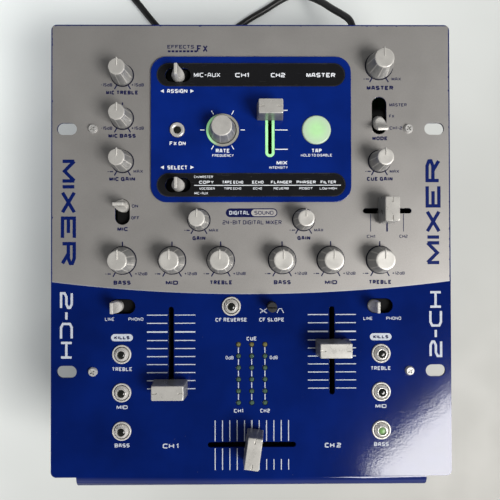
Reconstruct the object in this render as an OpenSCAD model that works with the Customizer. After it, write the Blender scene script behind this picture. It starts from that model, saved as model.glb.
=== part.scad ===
// Two-channel DJ mixer: folded steel face plate with rack ears on a steel tray,
// knobs, faders, levers and push buttons on a control board, sockets on the rear.
// Millimetres. +X is to the user's right, +Y to the rear, +Z up; z = 0 is under the feet.

/* [Case] */
// Width of the face plate over both ears
plate_w = 254; // [246:1:262]
// Depth of the flat of the face plate, ear edge to rear edge
plate_d = 287.2; // [284:0.2:296]
// Thickness of the face plate's steel sheet
plate_t = 1.5; // [1.2:0.1:2]
// Height of the face plate's top surface above the table
plate_z = 82; // [78:1:92]
// Radius of the face plate's outer corners
plate_corner_r = 3.5; // [2:0.5:5]
// Outside radius of the fold along the front edge
fold_r = 7.5; // [6:0.5:9]
// Width of the folded front and of the case under the plate
body_w = 222; // [218:1:226]
// Thickness of the tray's and rear panel's sheet
tray_t = 1.2; // [1:0.1:1.6]
// Height of the rubber feet
foot_h = 6; // [4:0.5:9]
// Radius of the rubber feet
foot_r = 9; // [7:0.5:11]
// Distance of the rear panel in front of the face plate's rear edge
rear_inset = 4; // [2:0.5:6]

/* [Rack ears] */
// Distance of the ear slots' centres from the plate's side edges
ear_slot_in = 10; // [8.5:0.5:11]
// Distance between the ear slots from front to rear
ear_pitch_y = 154; // [140:1:170]
// Length of one ear slot
ear_slot_l = 12.5; // [9:0.5:13]
// Width of one ear slot
ear_slot_w = 7.6; // [6:0.2:8]

/* [Effects panel] */
// Width of the raised effects panel
fx_w = 127.2; // [125:0.2:129]
// Depth of the raised effects panel
fx_d = 92.6; // [91:0.2:95]
// Position of its centre from the plate's centre, to the rear
fx_y = 76.5; // [76:0.1:77.5]
// Height of the raised effects panel above the plate
fx_t = 1.2; // [0.8:0.1:1.6]
// Corner radius of the effects panel
fx_corner_r = 10; // [6:0.5:12]
// Distance of the display windows' ends from the panel's sides
window_edge = 3.7; // [3:0.1:4.5]
// Height of each dark display window
window_w = 14.9; // [14:0.1:15.5]
// Thickness of each display window
window_t = 0.8; // [0.5:0.1:1.1]
// Position of the assign window along Y
assign_y = 111.3; // [111:0.1:112]
// Position of the select window along Y
select_y = 41.2; // [40.8:0.1:41.6]
// Row of the effect controls along Y
fx_row_y = 76; // [75:0.2:77]

/* [Knobs] */
// Height of a small knob's top above the plate
small_knob_h = 15.5; // [13:0.5:18]
// Skirt radius of a small knob
small_skirt_r = 6.8; // [6.2:0.1:7.2]
// Top radius of a small knob
small_top_r = 5; // [4.6:0.1:5.4]
// Height of a large knob's top above the plate
large_knob_h = 14; // [12:0.5:18]
// Skirt radius of a large knob
large_skirt_r = 8.5; // [7.8:0.1:8.8]
// Top radius of a large knob
large_top_r = 6; // [5.4:0.1:6.4]
// Height of the rate knob's top above the plate
rate_h = 12.8; // [11:0.2:15]
// Top radius of the rate knob
rate_top_r = 6.4; // [5.8:0.1:7]
// Radius of a potentiometer shaft
shaft_r = 3; // [2.6:0.1:3.1]
// Outside radius of a potentiometer's threaded bushing
bushing_r = 3.5; // [3.4:0.1:3.8]

/* [Faders] */
// Travel of the channel faders and the crossfader
long_travel = 45; // [40:1:48]
// Travel of the mix and cue faders
short_travel = 24; // [18:1:25]
// Length of the long fader slots
long_slot_l = 56; // [53:1:58]
// Length of the short fader slots
short_slot_l = 31; // [28:0.5:32]
// Width of the fader slots in the plate
fader_slot_w = 3.4; // [3:0.2:4]
// Length of a long fader's cap top across its travel
long_cap_w = 19.4; // [17:0.2:21]
// Length of a short fader's cap top across its travel
short_cap_w = 14.8; // [13:0.2:16]
// Depth of a fader cap's foot along its travel
cap_foot_d = 10.2; // [9.6:0.2:11]
// Depth of a fader cap's top along its travel
cap_top_d = 8.8; // [7:0.2:9.4]
// Height of a fader cap's top above the plate
cap_h = 16.4; // [14:0.2:18]
// Rest position of the channel 1 fader from the middle of its travel
ch1_rest = -22.5; // [-22.5:0.5:22.5]
// Rest position of the channel 2 fader from the middle of its travel
ch2_rest = 2.5; // [-22.5:0.5:22.5]
// Rest position of the crossfader from the middle of its travel
cross_rest = 0.8; // [-22:0.1:22]
// Rest position of the mix fader from the middle of its travel
mix_rest = 11; // [-11:0.5:11]
// Rest position of the cue fader from the middle of its travel
cue_rest = -1.2; // [-10:0.1:10]
// Turn of the crossfader's loose cap on its stem, seen from above
cross_turn = -8; // [-10:1:10]

/* [Levers] */
// Length of a two-way lever's slot
lever_slot_l = 16.4; // [16.2:0.2:18]
// Length of the three-way lever's slot
mode_slot_l = 24; // [22.6:0.2:26]
// Width of every lever slot
lever_slot_w = 9.4; // [9:0.1:10]
// Radius of a lever's round foot
lever_r = 4; // [3.4:0.1:4.1]
// Height of an upright lever's tip above the plate
lever_h = 12.4; // [10:0.2:15]
// Thickness of a lever's blade at its tip
blade_t = 2; // [1.4:0.1:2.6]
// Offset of a sliding two-way lever to each side
lever_offset = 3.9; // [3:0.1:4]
// Depth below the plate of a return lever's pivot
return_pivot = 13; // [11:0.5:14]
// Swing of a return lever to each side
return_tilt = 10; // [6:0.5:12]
// Depth below the plate of the three-way lever's pivot
mode_pivot = 9; // [8:0.5:10]
// Tilt of the three-way lever to each side
mode_tilt = 31; // [24:0.5:32]

/* [Buttons] */
// Outside radius of a kill button's bezel ring
bezel_r = 6; // [5.8:0.1:6.6]
// Radius of a kill button's cap
kill_r = 4.6; // [4.4:0.1:5]
// Height of a kill button above the plate
kill_h = 3; // [2.6:0.1:5]
// Radius of the raised rim round a kill button's lens
kill_rim_r = 3; // [2.8:0.1:3.4]
// Radius of the effect-on button's cap
fx_button_r = 4.6; // [4:0.1:5]
// Radius of the round tap button
tap_r = 9.1; // [8:0.1:9.6]
// Travel of every push button
press = 1.2; // [0.8:0.1:1.4]

/* [Level meter] */
// Distance between the three lamp columns
meter_pitch_x = 8.4; // [7:0.2:10]
// Distance between lamps in a column
meter_pitch_y = 7.38; // [6:0.02:7.6]
// Radius of one lamp
lamp_r = 1.5; // [1.2:0.1:1.7]

/* [Rear] */
// Outside radius of a phono socket's barrel
phono_r = 4.15; // [4.05:0.05:4.2]
// Length of a phono socket's barrel outside the rear panel
phono_l = 10; // [8:0.5:11]
// Distance between the two phono socket rows
phono_row = 18; // [16:0.5:20]

/* [Power cord] */
// Diameter of the power cord
cord_d = 5; // [4.6:0.2:5.4]
// Length of the tapered strain relief outside the rear panel
relief_l = 25; // [24:0.5:26]

/* [Hidden] */
$fn = 48;

// Clearances
slide_gap = 0.2;
turn_gap = 0.05;
seat_gap = 0.3;

// Case planes
plate_under = plate_z - plate_t;
front_y = -plate_d / 2 - fold_r;
rear_y = plate_d / 2 - rear_inset;
tray_front_y = front_y + plate_t + slide_gap;
tray_top = foot_h + tray_t;
side_x = body_w / 2;
flange_w = 18;
flange_front = 4 - plate_d / 2;
step_h = fold_r + 1;
lip_h = 15;
tab_w = 10;
fx_z = plate_z + fx_t;

// Control board
board_t = 1.6;
board_drop = 18.5;
board_z = plate_under - board_drop;
board_margin = 6;
board_x = side_x - tray_t - board_margin;
stud_r = 2.6;
stud_in = 11.6;

// Control places on the plate
col_x = 81.8;
mid_x = 50.4;
stud_x = mid_x + stud_in;
board_studs = [for (x = [-stud_x, stud_x], y = [15.6 - plate_d / 2, -10, plate_d / 2 - 14.6]) [x, y]];
inner_x = 19.5;
eq_y = -6.6;
gain_x = 33.3;
gain_y = 19;
mic_y = [111.2, 83.7, 56.2];
master_y = 117.2;
rate_x = -18.1;
mix_x = 11.9;
tap_x = fx_w / 2 - 22.1;
fx_button_x = 16.8 - fx_w / 2;
fx_lever_x = 17.1 - fx_w / 2;
mode_y = 85.5;
mic_lever_y = 24.2;
input_y = -35.8;
cue_x = 86.7;
cue_y = 24.6;
fader_x = 51;
fader_y = -64;
cross_y = -123.4;
reverse_x = -12.8;
slope_x = 12.8;
kill_x = 82.2;
kill_y = [-66, -90.2, -114.4];
meter_y = -78.5;
meter_rows = 6;
screw_x = side_x - 10.6;
screw_y = 77;
ear_x = plate_w / 2 - ear_slot_in;
window_l = fx_w - 2 * window_edge;

// Knobs: name, x, y, skirt radius, top radius, height, pointer
KNOBS = concat(
    [for (i = [0:2]) [["mic_treble_knob", "mic_bass_knob", "mic_gain_knob"][i],
        -col_x, mic_y[i], small_skirt_r, small_top_r, small_knob_h, true]],
    [["cue_gain_knob", col_x, mic_y[2], small_skirt_r, small_top_r, small_knob_h, true],
     ["master_knob", col_x, master_y, large_skirt_r, large_top_r, large_knob_h, true],
     ["ch1_gain_knob", -gain_x, gain_y, small_skirt_r, small_top_r, small_knob_h, true],
     ["ch2_gain_knob", gain_x, gain_y, small_skirt_r, small_top_r, small_knob_h, true]],
    [for (i = [0:2]) [["ch1_bass_knob", "ch1_mid_knob", "ch1_treble_knob"][i],
        [-col_x, -mid_x, -inner_x][i], eq_y, large_skirt_r, large_top_r, large_knob_h, true]],
    [for (i = [0:2]) [["ch2_bass_knob", "ch2_mid_knob", "ch2_treble_knob"][i],
        [inner_x, mid_x, col_x][i], eq_y, large_skirt_r, large_top_r, large_knob_h, true]],
    [["rate_knob", rate_x, fx_row_y, large_skirt_r, rate_top_r, rate_h, false]]);

// Faders: name, x, y of the middle of travel, rest offset, true if it slides along X, slot
// length, travel, cap length, turn of the cap
FADERS = [
    ["ch1_fader", -fader_x, fader_y, ch1_rest, false, long_slot_l, long_travel, long_cap_w, 0],
    ["ch2_fader", fader_x, fader_y, ch2_rest, false, long_slot_l, long_travel, long_cap_w, 0],
    ["crossfader", 0, cross_y, cross_rest, true, long_slot_l, long_travel, long_cap_w,
        cross_turn],
    ["mix_fader", mix_x, fx_row_y, mix_rest, false, short_slot_l, short_travel, short_cap_w, 0],
    ["cue_fader", cue_x, cue_y, cue_rest, true, short_slot_l, short_travel, short_cap_w, 0]];

// Levers: name, x, y, true if it moves along X, slot length, pivot depth (0 if it slides),
// rest tilt or rest offset, largest tilt or offset
LEVERS = [
    ["assign_lever", fx_lever_x, assign_y, true, lever_slot_l, return_pivot, 0, return_tilt],
    ["select_lever", fx_lever_x, select_y, true, lever_slot_l, return_pivot, 0, return_tilt],
    ["mode_lever", col_x, mode_y, false, mode_slot_l, mode_pivot, -mode_tilt, mode_tilt],
    ["mic_lever", -col_x, mic_lever_y, false, lever_slot_l, 0, lever_offset, lever_offset],
    ["ch1_input_lever", -col_x, input_y, true, lever_slot_l, 0, -lever_offset, lever_offset],
    ["ch2_input_lever", col_x, input_y, true, lever_slot_l, 0, -lever_offset, lever_offset]];

// Buttons: name, x, y, cap radius, height above the plate, lens radius, true if it has a bezel
kill_lens_r = 2.15;
fx_lens_r = 2.2;
fx_button_h = fx_t + 1.5;
tap_h = fx_t + 1;
BUTTONS = concat(
    [for (s = [-1, 1], i = [0:2])
        [str(s < 0 ? "ch1_" : "ch2_", ["treble", "mid", "bass"][i], "_kill_button"),
         s * kill_x, kill_y[i], kill_r, kill_h, kill_lens_r, true]],
    [["reverse_button", reverse_x, input_y, kill_r, kill_h, kill_lens_r, true],
     ["fx_on_button", fx_button_x, fx_row_y, fx_button_r, fx_button_h, fx_lens_r, false],
     ["tap_button", tap_x, fx_row_y, tap_r, tap_h, 0, false]]);

FIXED = ["face_plate", "front_wall", "chassis_tray", "rear_panel", "fx_panel", "display_windows",
    "light_guides", "meter_lamps", "screws_and_standoffs", "rubber_feet", "control_board",
    "potentiometers", "fader_tracks", "switch_bodies", "button_bezels", "main_board",
    "phono_sockets", "transformer", "front_jacks", "power_switch_housing", "power_rocker",
    "slope_shaft", "strain_relief", "power_cord", "power_cord_coil", "mains_plug"];

// ---------------------------------------------------------------- shared outlines

// A slot with round ends, long along X, or along Y when upright
module slot(l, w, upright = false) {
    rotate(upright ? 90 : 0) {
        square([l - w, w], center = true);
        for (s = [-1, 1]) translate([s * (l - w) / 2, 0]) circle(d = w);
    }
}

// A rectangle with round corners
module rounded(w, d, r) {
    square([w - 2 * r, d], center = true);
    square([w, d - 2 * r], center = true);
    for (x = [-1, 1], y = [-1, 1])
        translate([x * (w / 2 - r), y * (d / 2 - r)]) circle(r);
}

// A solid bar between two heights
module slab(z0, z1) {
    translate([0, 0, z0]) linear_extrude(z1 - z0) children();
}

// Puts its children at the four corners of a rectangle
module corners(x, y) {
    for (sx = [-1, 1], sy = [-1, 1]) translate([sx * x, sy * y, 0]) children();
}

// ---------------------------------------------------------------- case

hole_gap = 0.25;
screw_r = 1.5;
screw_hole_r = screw_r + 0.2;
head_r = 3;
head_h = 1.8;

module control_holes(extra = 0) {
    for (k = KNOBS) translate([k[1], k[2]]) circle(bushing_r + slide_gap + extra);
    translate([slope_x, input_y]) circle(shaft_r + slide_gap + extra);
    for (f = FADERS) fader_place(f, 0) slot(f[5] + 2 * extra, fader_slot_w + 2 * extra, !f[4]);
    for (l = LEVERS) translate([l[1], l[2]]) slot(l[4] + 2 * extra, lever_slot_w + 2 * extra, !l[3]);
    for (b = BUTTONS) translate([b[1], b[2]]) circle(b[3] + hole_gap + extra);
}

module meter_places() {
    for (x = [-1:1], i = [0:meter_rows - 1])
        translate([x * meter_pitch_x, meter_y + (i - (meter_rows - 1) / 2) * meter_pitch_y])
            children();
}

// One sheet with every control's hole; its front edge rolls down in a quarter fold, drawn with
// a strip that runs on inside the sheet
fold_lap = 2;

module face_plate() color("silver") {
    slab(plate_under, plate_z) difference() {
        rounded(plate_w, plate_d, plate_corner_r);
        control_holes();
        meter_places() circle(lamp_r + hole_gap);
        corners(screw_x, screw_y) circle(screw_hole_r);
        corners(ear_x, ear_pitch_y / 2) slot(ear_slot_l, ear_slot_w);
    }
    rotate([90, 0, 90]) translate([0, 0, -side_x]) linear_extrude(body_w)
        translate([-plate_d / 2, plate_z - fold_r]) {
            difference() {
                intersection() {
                    circle(fold_r);
                    translate([-fold_r, 0]) square(fold_r);
                }
                circle(fold_r - plate_t);
            }
            translate([0, fold_r - plate_t]) square([fold_lap, plate_t]);
        }
}

// Sheet below the fold, with two jack holes and two screw holes
jack_x = 78;
jack_z = 38;
jack_thread_r = 4.6;

module front_wall() color("navy") {
    difference() {
        translate([-side_x, front_y, foot_h]) cube([body_w, plate_t, plate_z - fold_r - foot_h]);
        for (s = [-1, 1]) translate([s * jack_x, front_y, jack_z])
            rotate([90, 0, 0]) cylinder(h = 10, r = jack_thread_r + slide_gap, center = true);
        front_screw_places() cylinder(h = 10, r = screw_hole_r, center = true);
    }
}

// Screws that hold the front wall to the tray's lip, axis along -Y
module front_screw_places() {
    for (s = [-1, 1]) translate([s * (side_x - 14), front_y, foot_h + 9])
        rotate([90, 0, 0]) children();
}

foot_x = side_x - 19;
foot_y = plate_d / 2 - 21.6;
main_board_z = 20;
main_board_x = side_x - 9;
main_board_reach = 77.6;
main_board_gap = 2.2;
main_board_y0 = rear_y - main_board_reach;
main_board_y1 = rear_y - tray_t - main_board_gap;
main_stud_x = main_board_x - 12;
main_studs = [for (x = [-main_stud_x, 0, main_stud_x], y = [main_board_y0 + 8, main_board_y1 - 24]) [x, y]];
vent_n = 6;
vent_pitch = 8;

module chassis_tray() color("darkslateblue") {
    difference() {
        union() {
            slab(foot_h, tray_top) translate([-side_x, tray_front_y])
                square([body_w, rear_y - tray_front_y]);
            for (s = [-1, 1]) tray_side(s);
            slab(tray_top, tray_top + lip_h) translate([-side_x + 4, tray_front_y])
                square([body_w - 8, tray_t]);
            for (s = [-1, 1]) slab(tray_top, plate_under - 8)
                translate([s * (side_x - tray_t - tab_w / 2), rear_y - 1.5 * tray_t])
                    square([tab_w, tray_t], center = true);
        }
        corners(foot_x, foot_y) translate([0, 0, foot_h]) cylinder(h = 9, r = screw_hole_r, center = true);
        corners(screw_x, screw_y) translate([0, 0, plate_under])
            cylinder(h = 9, r = screw_hole_r, center = true);
        slab(plate_under - 2 * tray_t, plate_z) control_holes(1);
        front_screw_places() cylinder(h = 12, r = screw_hole_r, center = true);
        rear_screw_places() cylinder(h = 12, r = screw_hole_r, center = true);
        for (s = [-1, 1], i = [0:vent_n - 1])
            translate([s * side_x, 40 + i * vent_pitch, (tray_top + plate_under) / 2])
                cube([6, 2.4, 26], center = true);
    }
}

// One side wall with the inward flange that carries the face plate
module tray_side(s) {
    translate([s * (side_x - tray_t / 2), 0, 0]) rotate([90, 0, 90]) linear_extrude(tray_t, center = true)
        polygon([[tray_front_y, foot_h], [rear_y, foot_h], [rear_y, plate_under],
            [-plate_d / 2 + 1, plate_under], [-plate_d / 2 + 1, plate_z - step_h],
            [tray_front_y, plate_z - step_h]]);
    slab(plate_under - tray_t, plate_under)
        translate([s > 0 ? side_x - flange_w : -side_x, flange_front])
            square([flange_w, rear_y - tray_t - turn_gap - flange_front]);
}

// Rear panel: a sheet with a foot that lies on the tray
rear_pitch = (body_w - 52) / 10;
phono_cols = 7;
phono_x0 = rear_pitch - side_x;
phono_z = 34;
phono_neck_r = 5;
switch_x = phono_x0 + 8.24 * rear_pitch;
switch_z = 42;
switch_w = 12;
switch_h = 18;
ground_x = phono_x0 + 7.06 * rear_pitch;
ground_z = 50;
cord_x = phono_x0 + 10 * rear_pitch;
cord_z = 30;
relief_r = 5.2;

module rear_screw_places() {
    for (s = [-1, 1], z = [20, plate_under - 16])
        translate([s * (side_x - tray_t - tab_w / 2), rear_y, z]) rotate([-90, 0, 0]) children();
}

module phono_places() {
    for (i = [0:phono_cols - 1], j = [0:1])
        translate([phono_x0 + i * rear_pitch, rear_y, phono_z + j * phono_row])
            rotate([-90, 0, 0]) children();
}

module rear_panel() color("darkslateblue") {
    rear_half = side_x - tray_t - turn_gap;
    difference() {
        translate([-rear_half, rear_y - tray_t, tray_top])
            cube([2 * rear_half, tray_t, plate_under - tray_top]);
        phono_places() cylinder(h = 9, r = phono_neck_r + hole_gap, center = true);
        rear_screw_places() cylinder(h = 9, r = screw_hole_r, center = true);
        translate([switch_x, rear_y, switch_z])
            cube([switch_w + slide_gap, 9, switch_h + slide_gap], center = true);
        translate([ground_x, rear_y, ground_z]) rotate([-90, 0, 0]) cylinder(h = 9, r = 2.2, center = true);
        translate([cord_x, rear_y, cord_z]) rotate([-90, 0, 0])
            cylinder(h = 9, r = relief_r + slide_gap, center = true);
    }
    translate([-rear_half + tab_w + 2, rear_y - 12, tray_top])
        cube([2 * (rear_half - tab_w - 2), 12 - tray_t, tray_t]);
}

module rubber_feet() color("black") {
    corners(foot_x, foot_y) difference() {
        cylinder(h = foot_h, r1 = foot_r - 1, r2 = foot_r);
        translate([0, 0, -1]) cylinder(h = foot_h - 1, r = head_r + 1);
        cylinder(h = 3 * foot_h, r = screw_hole_r, center = true);
    }
}

// A pan-head screw, head up, seat at z = 0, with a cross recess
module screw(l) {
    difference() {
        union() {
            cylinder(h = head_h, r1 = head_r, r2 = head_r - 0.7);
            translate([0, 0, -l]) cylinder(h = l, r = screw_r);
        }
        for (a = [0, 90]) rotate(a + 35) translate([0, 0, head_h])
            cube([3.4, 0.7, 2], center = true);
    }
}

// Case screws; the boards' standoffs under the plate and on the tray, with their screws
module screws_and_standoffs() color("silver") {
    corners(screw_x, screw_y) translate([0, 0, plate_z]) screw(7);
    corners(foot_x, foot_y) translate([0, 0, foot_h - 2]) rotate([180, 0, 0]) screw(6);
    front_screw_places() screw(7);
    rear_screw_places() screw(7);
    for (p = board_studs) translate([p[0], p[1], board_z - board_t]) rotate([180, 0, 0]) board_screw();
    for (p = main_studs) translate([p[0], p[1], main_board_z + board_t]) board_screw();
    for (p = board_studs) translate([p[0], p[1], board_z]) board_stud(plate_under - board_z);
    for (p = main_studs) translate([p[0], p[1], main_board_z]) rotate([180, 0, 0])
        board_stud(main_board_z - tray_top);
}

// A standoff with its threaded hole at z = 0
module board_stud(h) {
    difference() {
        cylinder(h = h, r = stud_r);
        translate([0, 0, -1]) cylinder(h = 9, r = 1.3);
    }
}

module board_screw() {
    cylinder(h = 1.6, r = 2.4);
    translate([0, 0, -6]) cylinder(h = 6, r = 1.2);
}

// ---------------------------------------------------------------- effects panel

rate_ring_r = 10.4;
rate_ring_in = 8.9;
mix_frame_w = 5.8;
mix_slot_w = 2.4;
guide_gap = 0.15;

module fx_panel() color("mediumblue") {
    slab(plate_z, fx_z) difference() {
        translate([0, fx_y]) rounded(fx_w, fx_d, fx_corner_r);
        for (y = [assign_y, select_y]) translate([0, y])
            slot(window_l + 2 * guide_gap, window_w + 2 * guide_gap);
        translate([rate_x, fx_row_y]) circle(rate_ring_r + guide_gap);
        translate([mix_x, fx_row_y]) slot(mix_frame_l() + 2 * guide_gap, mix_frame_w + 2 * guide_gap, true);
        translate([tap_x, fx_row_y]) circle(tap_r + hole_gap);
        translate([fx_button_x, fx_row_y]) circle(fx_button_r + hole_gap);
    }
}

function mix_frame_l() = short_slot_l + mix_frame_w - mix_slot_w;

module display_windows() color("black") {
    slab(plate_z, plate_z + window_t) for (y = [assign_y, select_y]) difference() {
        translate([0, y]) slot(window_l, window_w);
        translate([fx_lever_x, y]) slot(lever_slot_l, lever_slot_w);
    }
}

module light_guides() color("lightgreen") {
    slab(plate_z, fx_z + 0.3) {
        translate([rate_x, fx_row_y]) difference() {
            circle(rate_ring_r);
            circle(rate_ring_in);
        }
        translate([mix_x, fx_row_y]) difference() {
            slot(mix_frame_l(), mix_frame_w, true);
            slot(short_slot_l, mix_slot_w, true);
        }
    }
}

module meter_lamps() color("olivedrab") {
    meter_places() translate([0, 0, board_z]) {
        cylinder(h = 9, r = 1);
        translate([0, 0, 9]) cylinder(h = 1, r = lamp_r + 0.4);
        translate([0, 0, 10]) cylinder(h = plate_z - board_z - 10.2, r = lamp_r);
        translate([0, 0, plate_z - board_z - 0.2]) cylinder(h = 0.9, r1 = lamp_r, r2 = lamp_r * 0.55);
    }
}

// ---------------------------------------------------------------- boards

module control_board() color("darkgreen") {
    difference() {
        slab(board_z - board_t, board_z) translate([-board_x, board_margin - plate_d / 2])
            square([2 * board_x, rear_y - 3 * tray_t - board_margin + plate_d / 2]);
        for (p = board_studs) translate([p[0], p[1], board_z]) cylinder(h = 9, r = 1.5, center = true);
    }
}

can_h = 14;
can_r = 5;
chip_w = 14;
chip_h = 2.4;
sink_t = 3;
sink_l = 34;
sink_h = 24;
can_x = -70;
can_y = 16;
can_pitch_x = 20;
can_pitch_y = 14;
chip_x = -14;
chip_y = 22;
chip_pitch = 22;
sink_x = 58;
sink_y = 14;

// Power supply and input board with its capacitors, chips and heat sink
module main_board() color("darkgreen") {
    difference() {
        slab(main_board_z, main_board_z + board_t) translate([-main_board_x, main_board_y0])
            square([2 * main_board_x, main_board_y1 - main_board_y0]);
        for (p = main_studs) translate([p[0], p[1], main_board_z]) cylinder(h = 9, r = 1.5, center = true);
    }
    translate([0, main_board_y0, main_board_z + board_t]) {
        for (i = [0:2], j = [0, 1]) translate([can_x + i * can_pitch_x, can_y + j * can_pitch_y, 0])
            cylinder(h = can_h, r = can_r);
        for (i = [0:2]) translate([chip_x + i * chip_pitch, chip_y, 0])
            cube([chip_w, chip_w, chip_h]);
        translate([sink_x, sink_y, 0]) cube([sink_t, sink_l, sink_h]);
    }
}

core_w = 56;
core_d = 30;
core_h = 46;
core_leg = 9;
core_in = 73;
core_y = 8;
winding_w = 10;
winding_out = 8;
lug_w = 10;
lug_t = 2;

// Laminated core with two windows, the winding round its middle leg, and two lugs on the tray
module transformer() color("dimgray") translate([side_x - core_in, core_y, tray_top]) {
    window_h = core_h - 22;
    difference() {
        cube([core_w, core_d, core_h]);
        for (x = [core_leg, core_w - core_leg - winding_w]) translate([x, -1, 11])
            cube([winding_w, core_d + 2, window_h]);
    }
    translate([core_leg + slide_gap, -winding_out, 11 + slide_gap]) difference() {
        cube([core_w - 2 * (core_leg + slide_gap), core_d + 2 * winding_out, window_h - 2 * slide_gap]);
        translate([winding_w - 2 * slide_gap, winding_out - slide_gap, -1])
            cube([core_w - 2 * (core_leg + winding_w - slide_gap), core_d + 2 * slide_gap, window_h + 2]);
    }
    for (x = [slide_gap - lug_w, core_w - slide_gap]) difference() {
        translate([x, core_d / 6, 0]) cube([lug_w, 2 * core_d / 3, lug_t]);
        translate([x + lug_w / 2, core_d / 2, -1]) cylinder(h = 2 * lug_t, r = 1.9);
    }
}

// ---------------------------------------------------------------- knobs

pot_w = 11.5;
pot_h = 11;
nut_top = 2.2;
knob_lift = 0.6;
rib_w = 1.1;
rib_h = 0.5;

module potentiometers() color("gray") {
    for (k = KNOBS) translate([k[1], k[2], 0]) pot(bushing_r, plate_z + nut_top);
    translate([slope_x, input_y, 0]) pot(bushing_r + 0.5, plate_under - 1);
}

// One potentiometer: a square case on the board and a bored bushing up to its top
module pot(r, z1) {
    translate([0, 0, board_z]) difference() {
        union() {
            slab(0, pot_h) square(pot_w, center = true);
            cylinder(h = z1 - board_z, r = r);
        }
        translate([0, 0, 2]) cylinder(h = z1 - board_z, r = shaft_r + turn_gap);
    }
}

// A knob cap on its shaft: skirt, tapered body, chamfered top and a pointer rib
module knob(k) {
    skirt = k[3];
    top = k[4];
    h = k[5];
    skirt_h = knob_lift + 2.4;
    bore_top = h - 3;
    neck = top + (skirt - top) * 0.55;
    color("silver") translate([k[1], k[2], plate_z]) {
        rotate_extrude() polygon([[bushing_r + 0.8, knob_lift], [skirt, knob_lift],
            [skirt - 0.2, skirt_h], [neck, skirt_h + 0.6], [top + 0.3, h - 0.8], [top - 0.3, h],
            [0, h], [0, bore_top], [shaft_r + turn_gap, bore_top],
            [shaft_r + turn_gap, nut_top + seat_gap], [bushing_r + 0.8, nut_top + seat_gap]]);
        if (k[6]) translate([-rib_w / 2, 0, h - 1]) cube([rib_w, top + 0.7, 1 + rib_h]);
    }
    color("gray") translate([k[1], k[2], board_z + 2 + seat_gap])
        cylinder(h = plate_z - board_z + bore_top - 2 - 2 * seat_gap, r = shaft_r);
}

slope_h = 10;

module slope_shaft() color("black") translate([slope_x, input_y, board_z + 2 + seat_gap])
    difference() {
        cylinder(h = plate_z - board_z + slope_h - 2 - seat_gap, r = shaft_r);
        translate([0, 0, plate_z - board_z + slope_h - 2 - seat_gap])
            cube([8, 1, 2.4], center = true);
    }

// ---------------------------------------------------------------- faders

track_w = 9;
track_h = 12;
track_in = 3;
stem_t = 1.3;
stem_l = 3;
runner_l = 6;
runner_h = 4;
cap_lift = 2;
stem_grip = 7;
cap_flare = 1.8;
groove_l = 3.3;
groove_w = 0.5;

// Puts its children at a fader's middle of travel, moved along its travel
module fader_place(f, along) {
    translate(f[4] ? [f[1] + along, f[2]] : [f[1], f[2] + along]) children();
}

module fader_tracks() color("gray") {
    for (f = FADERS) translate([0, 0, board_z]) fader_place(f, 0)
        rotate(f[4] ? 0 : 90) difference() {
            slab(0, track_h) square([f[5] + 8, track_w], center = true);
            slab(2, track_h + 1) square([f[5] + 2, track_in], center = true);
        }
}

// A fader's moving piece: runner in the track, flat stem through the slot, and finger cap
module fader(f) {
    fader_place(f, f[3]) rotate(f[4] ? 90 : 0) {
        color("gray") {
            slab(board_z + 2 + seat_gap, board_z + 2 + seat_gap + runner_h)
                square([track_in - 2 * slide_gap, runner_l], center = true);
            slab(board_z + 3, plate_z + cap_lift + stem_grip) square([stem_t, stem_l], center = true);
        }
        color("silver") difference() {
            rotate(f[8]) fader_cap(f[7]);
            slab(plate_z, plate_z + cap_lift + stem_grip + turn_gap)
                square([stem_t + 2 * turn_gap, stem_l + 2 * turn_gap], center = true);
        }
    }
}

// Cap of length w at its top: four sloping sides, chamfered top edge, an index groove at each end
module fader_cap(w) {
    z0 = plate_z + cap_lift;
    z1 = plate_z + cap_h;
    foot_w = w + cap_flare;
    difference() {
        intersection() {
            rotate([90, 0, 90]) linear_extrude(foot_w, center = true)
                cap_outline(cap_foot_d / 2, cap_top_d / 2, z0, z1);
            rotate([90, 0, 0]) linear_extrude(2 * cap_foot_d, center = true)
                cap_outline(foot_w / 2, w / 2, z0, z1);
        }
        for (s = [-1, 1]) translate([s * (w / 2 - groove_l / 2 + 0.5), 0, z1])
            cube([groove_l + 1, groove_w, 2 * groove_w], center = true);
    }
}

module cap_outline(foot, top, z0, z1)
    polygon([[-foot, z0], [foot, z0], [foot, z0 + 2], [top, z1 - 0.5], [top - 0.5, z1],
        [0.5 - top, z1], [-top, z1 - 0.5], [-foot, z0 + 2]]);

// ---------------------------------------------------------------- levers

pin_r = 1.2;
boss_r = 2.6;
cheek_gap = 4.5;
cheek_t = 1.4;
cheek_l = 14;
shield_w = 8.4;
shield_t = 1;
shield_gap = 0.7;
neck_r = 1.8;
shield_z = plate_under - tray_t - shield_gap - shield_t;
slide_block_h = 9;
slide_runner_l = 8;

// Round foot cut by two flats to a blade; z = 0 is the plate's top, z0 the foot's underside
module lever_head(z0) {
    half = blade_t / 2;
    intersection() {
        translate([0, 0, z0]) cylinder(h = lever_h - z0, r1 = lever_r, r2 = lever_r - 0.5);
        rotate([90, 0, 0]) linear_extrude(3 * lever_r, center = true)
            polygon([[-lever_r, z0], [lever_r, z0], [lever_r, 1], [half + 1, 4.6],
                [half + 0.3, 7], [half, lever_h - 0.5], [half - 0.4, lever_h],
                [0.4 - half, lever_h], [-half, lever_h - 0.5], [-half - 0.3, 7],
                [-half - 1, 4.6], [-lever_r, 1]]);
    }
}

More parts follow.
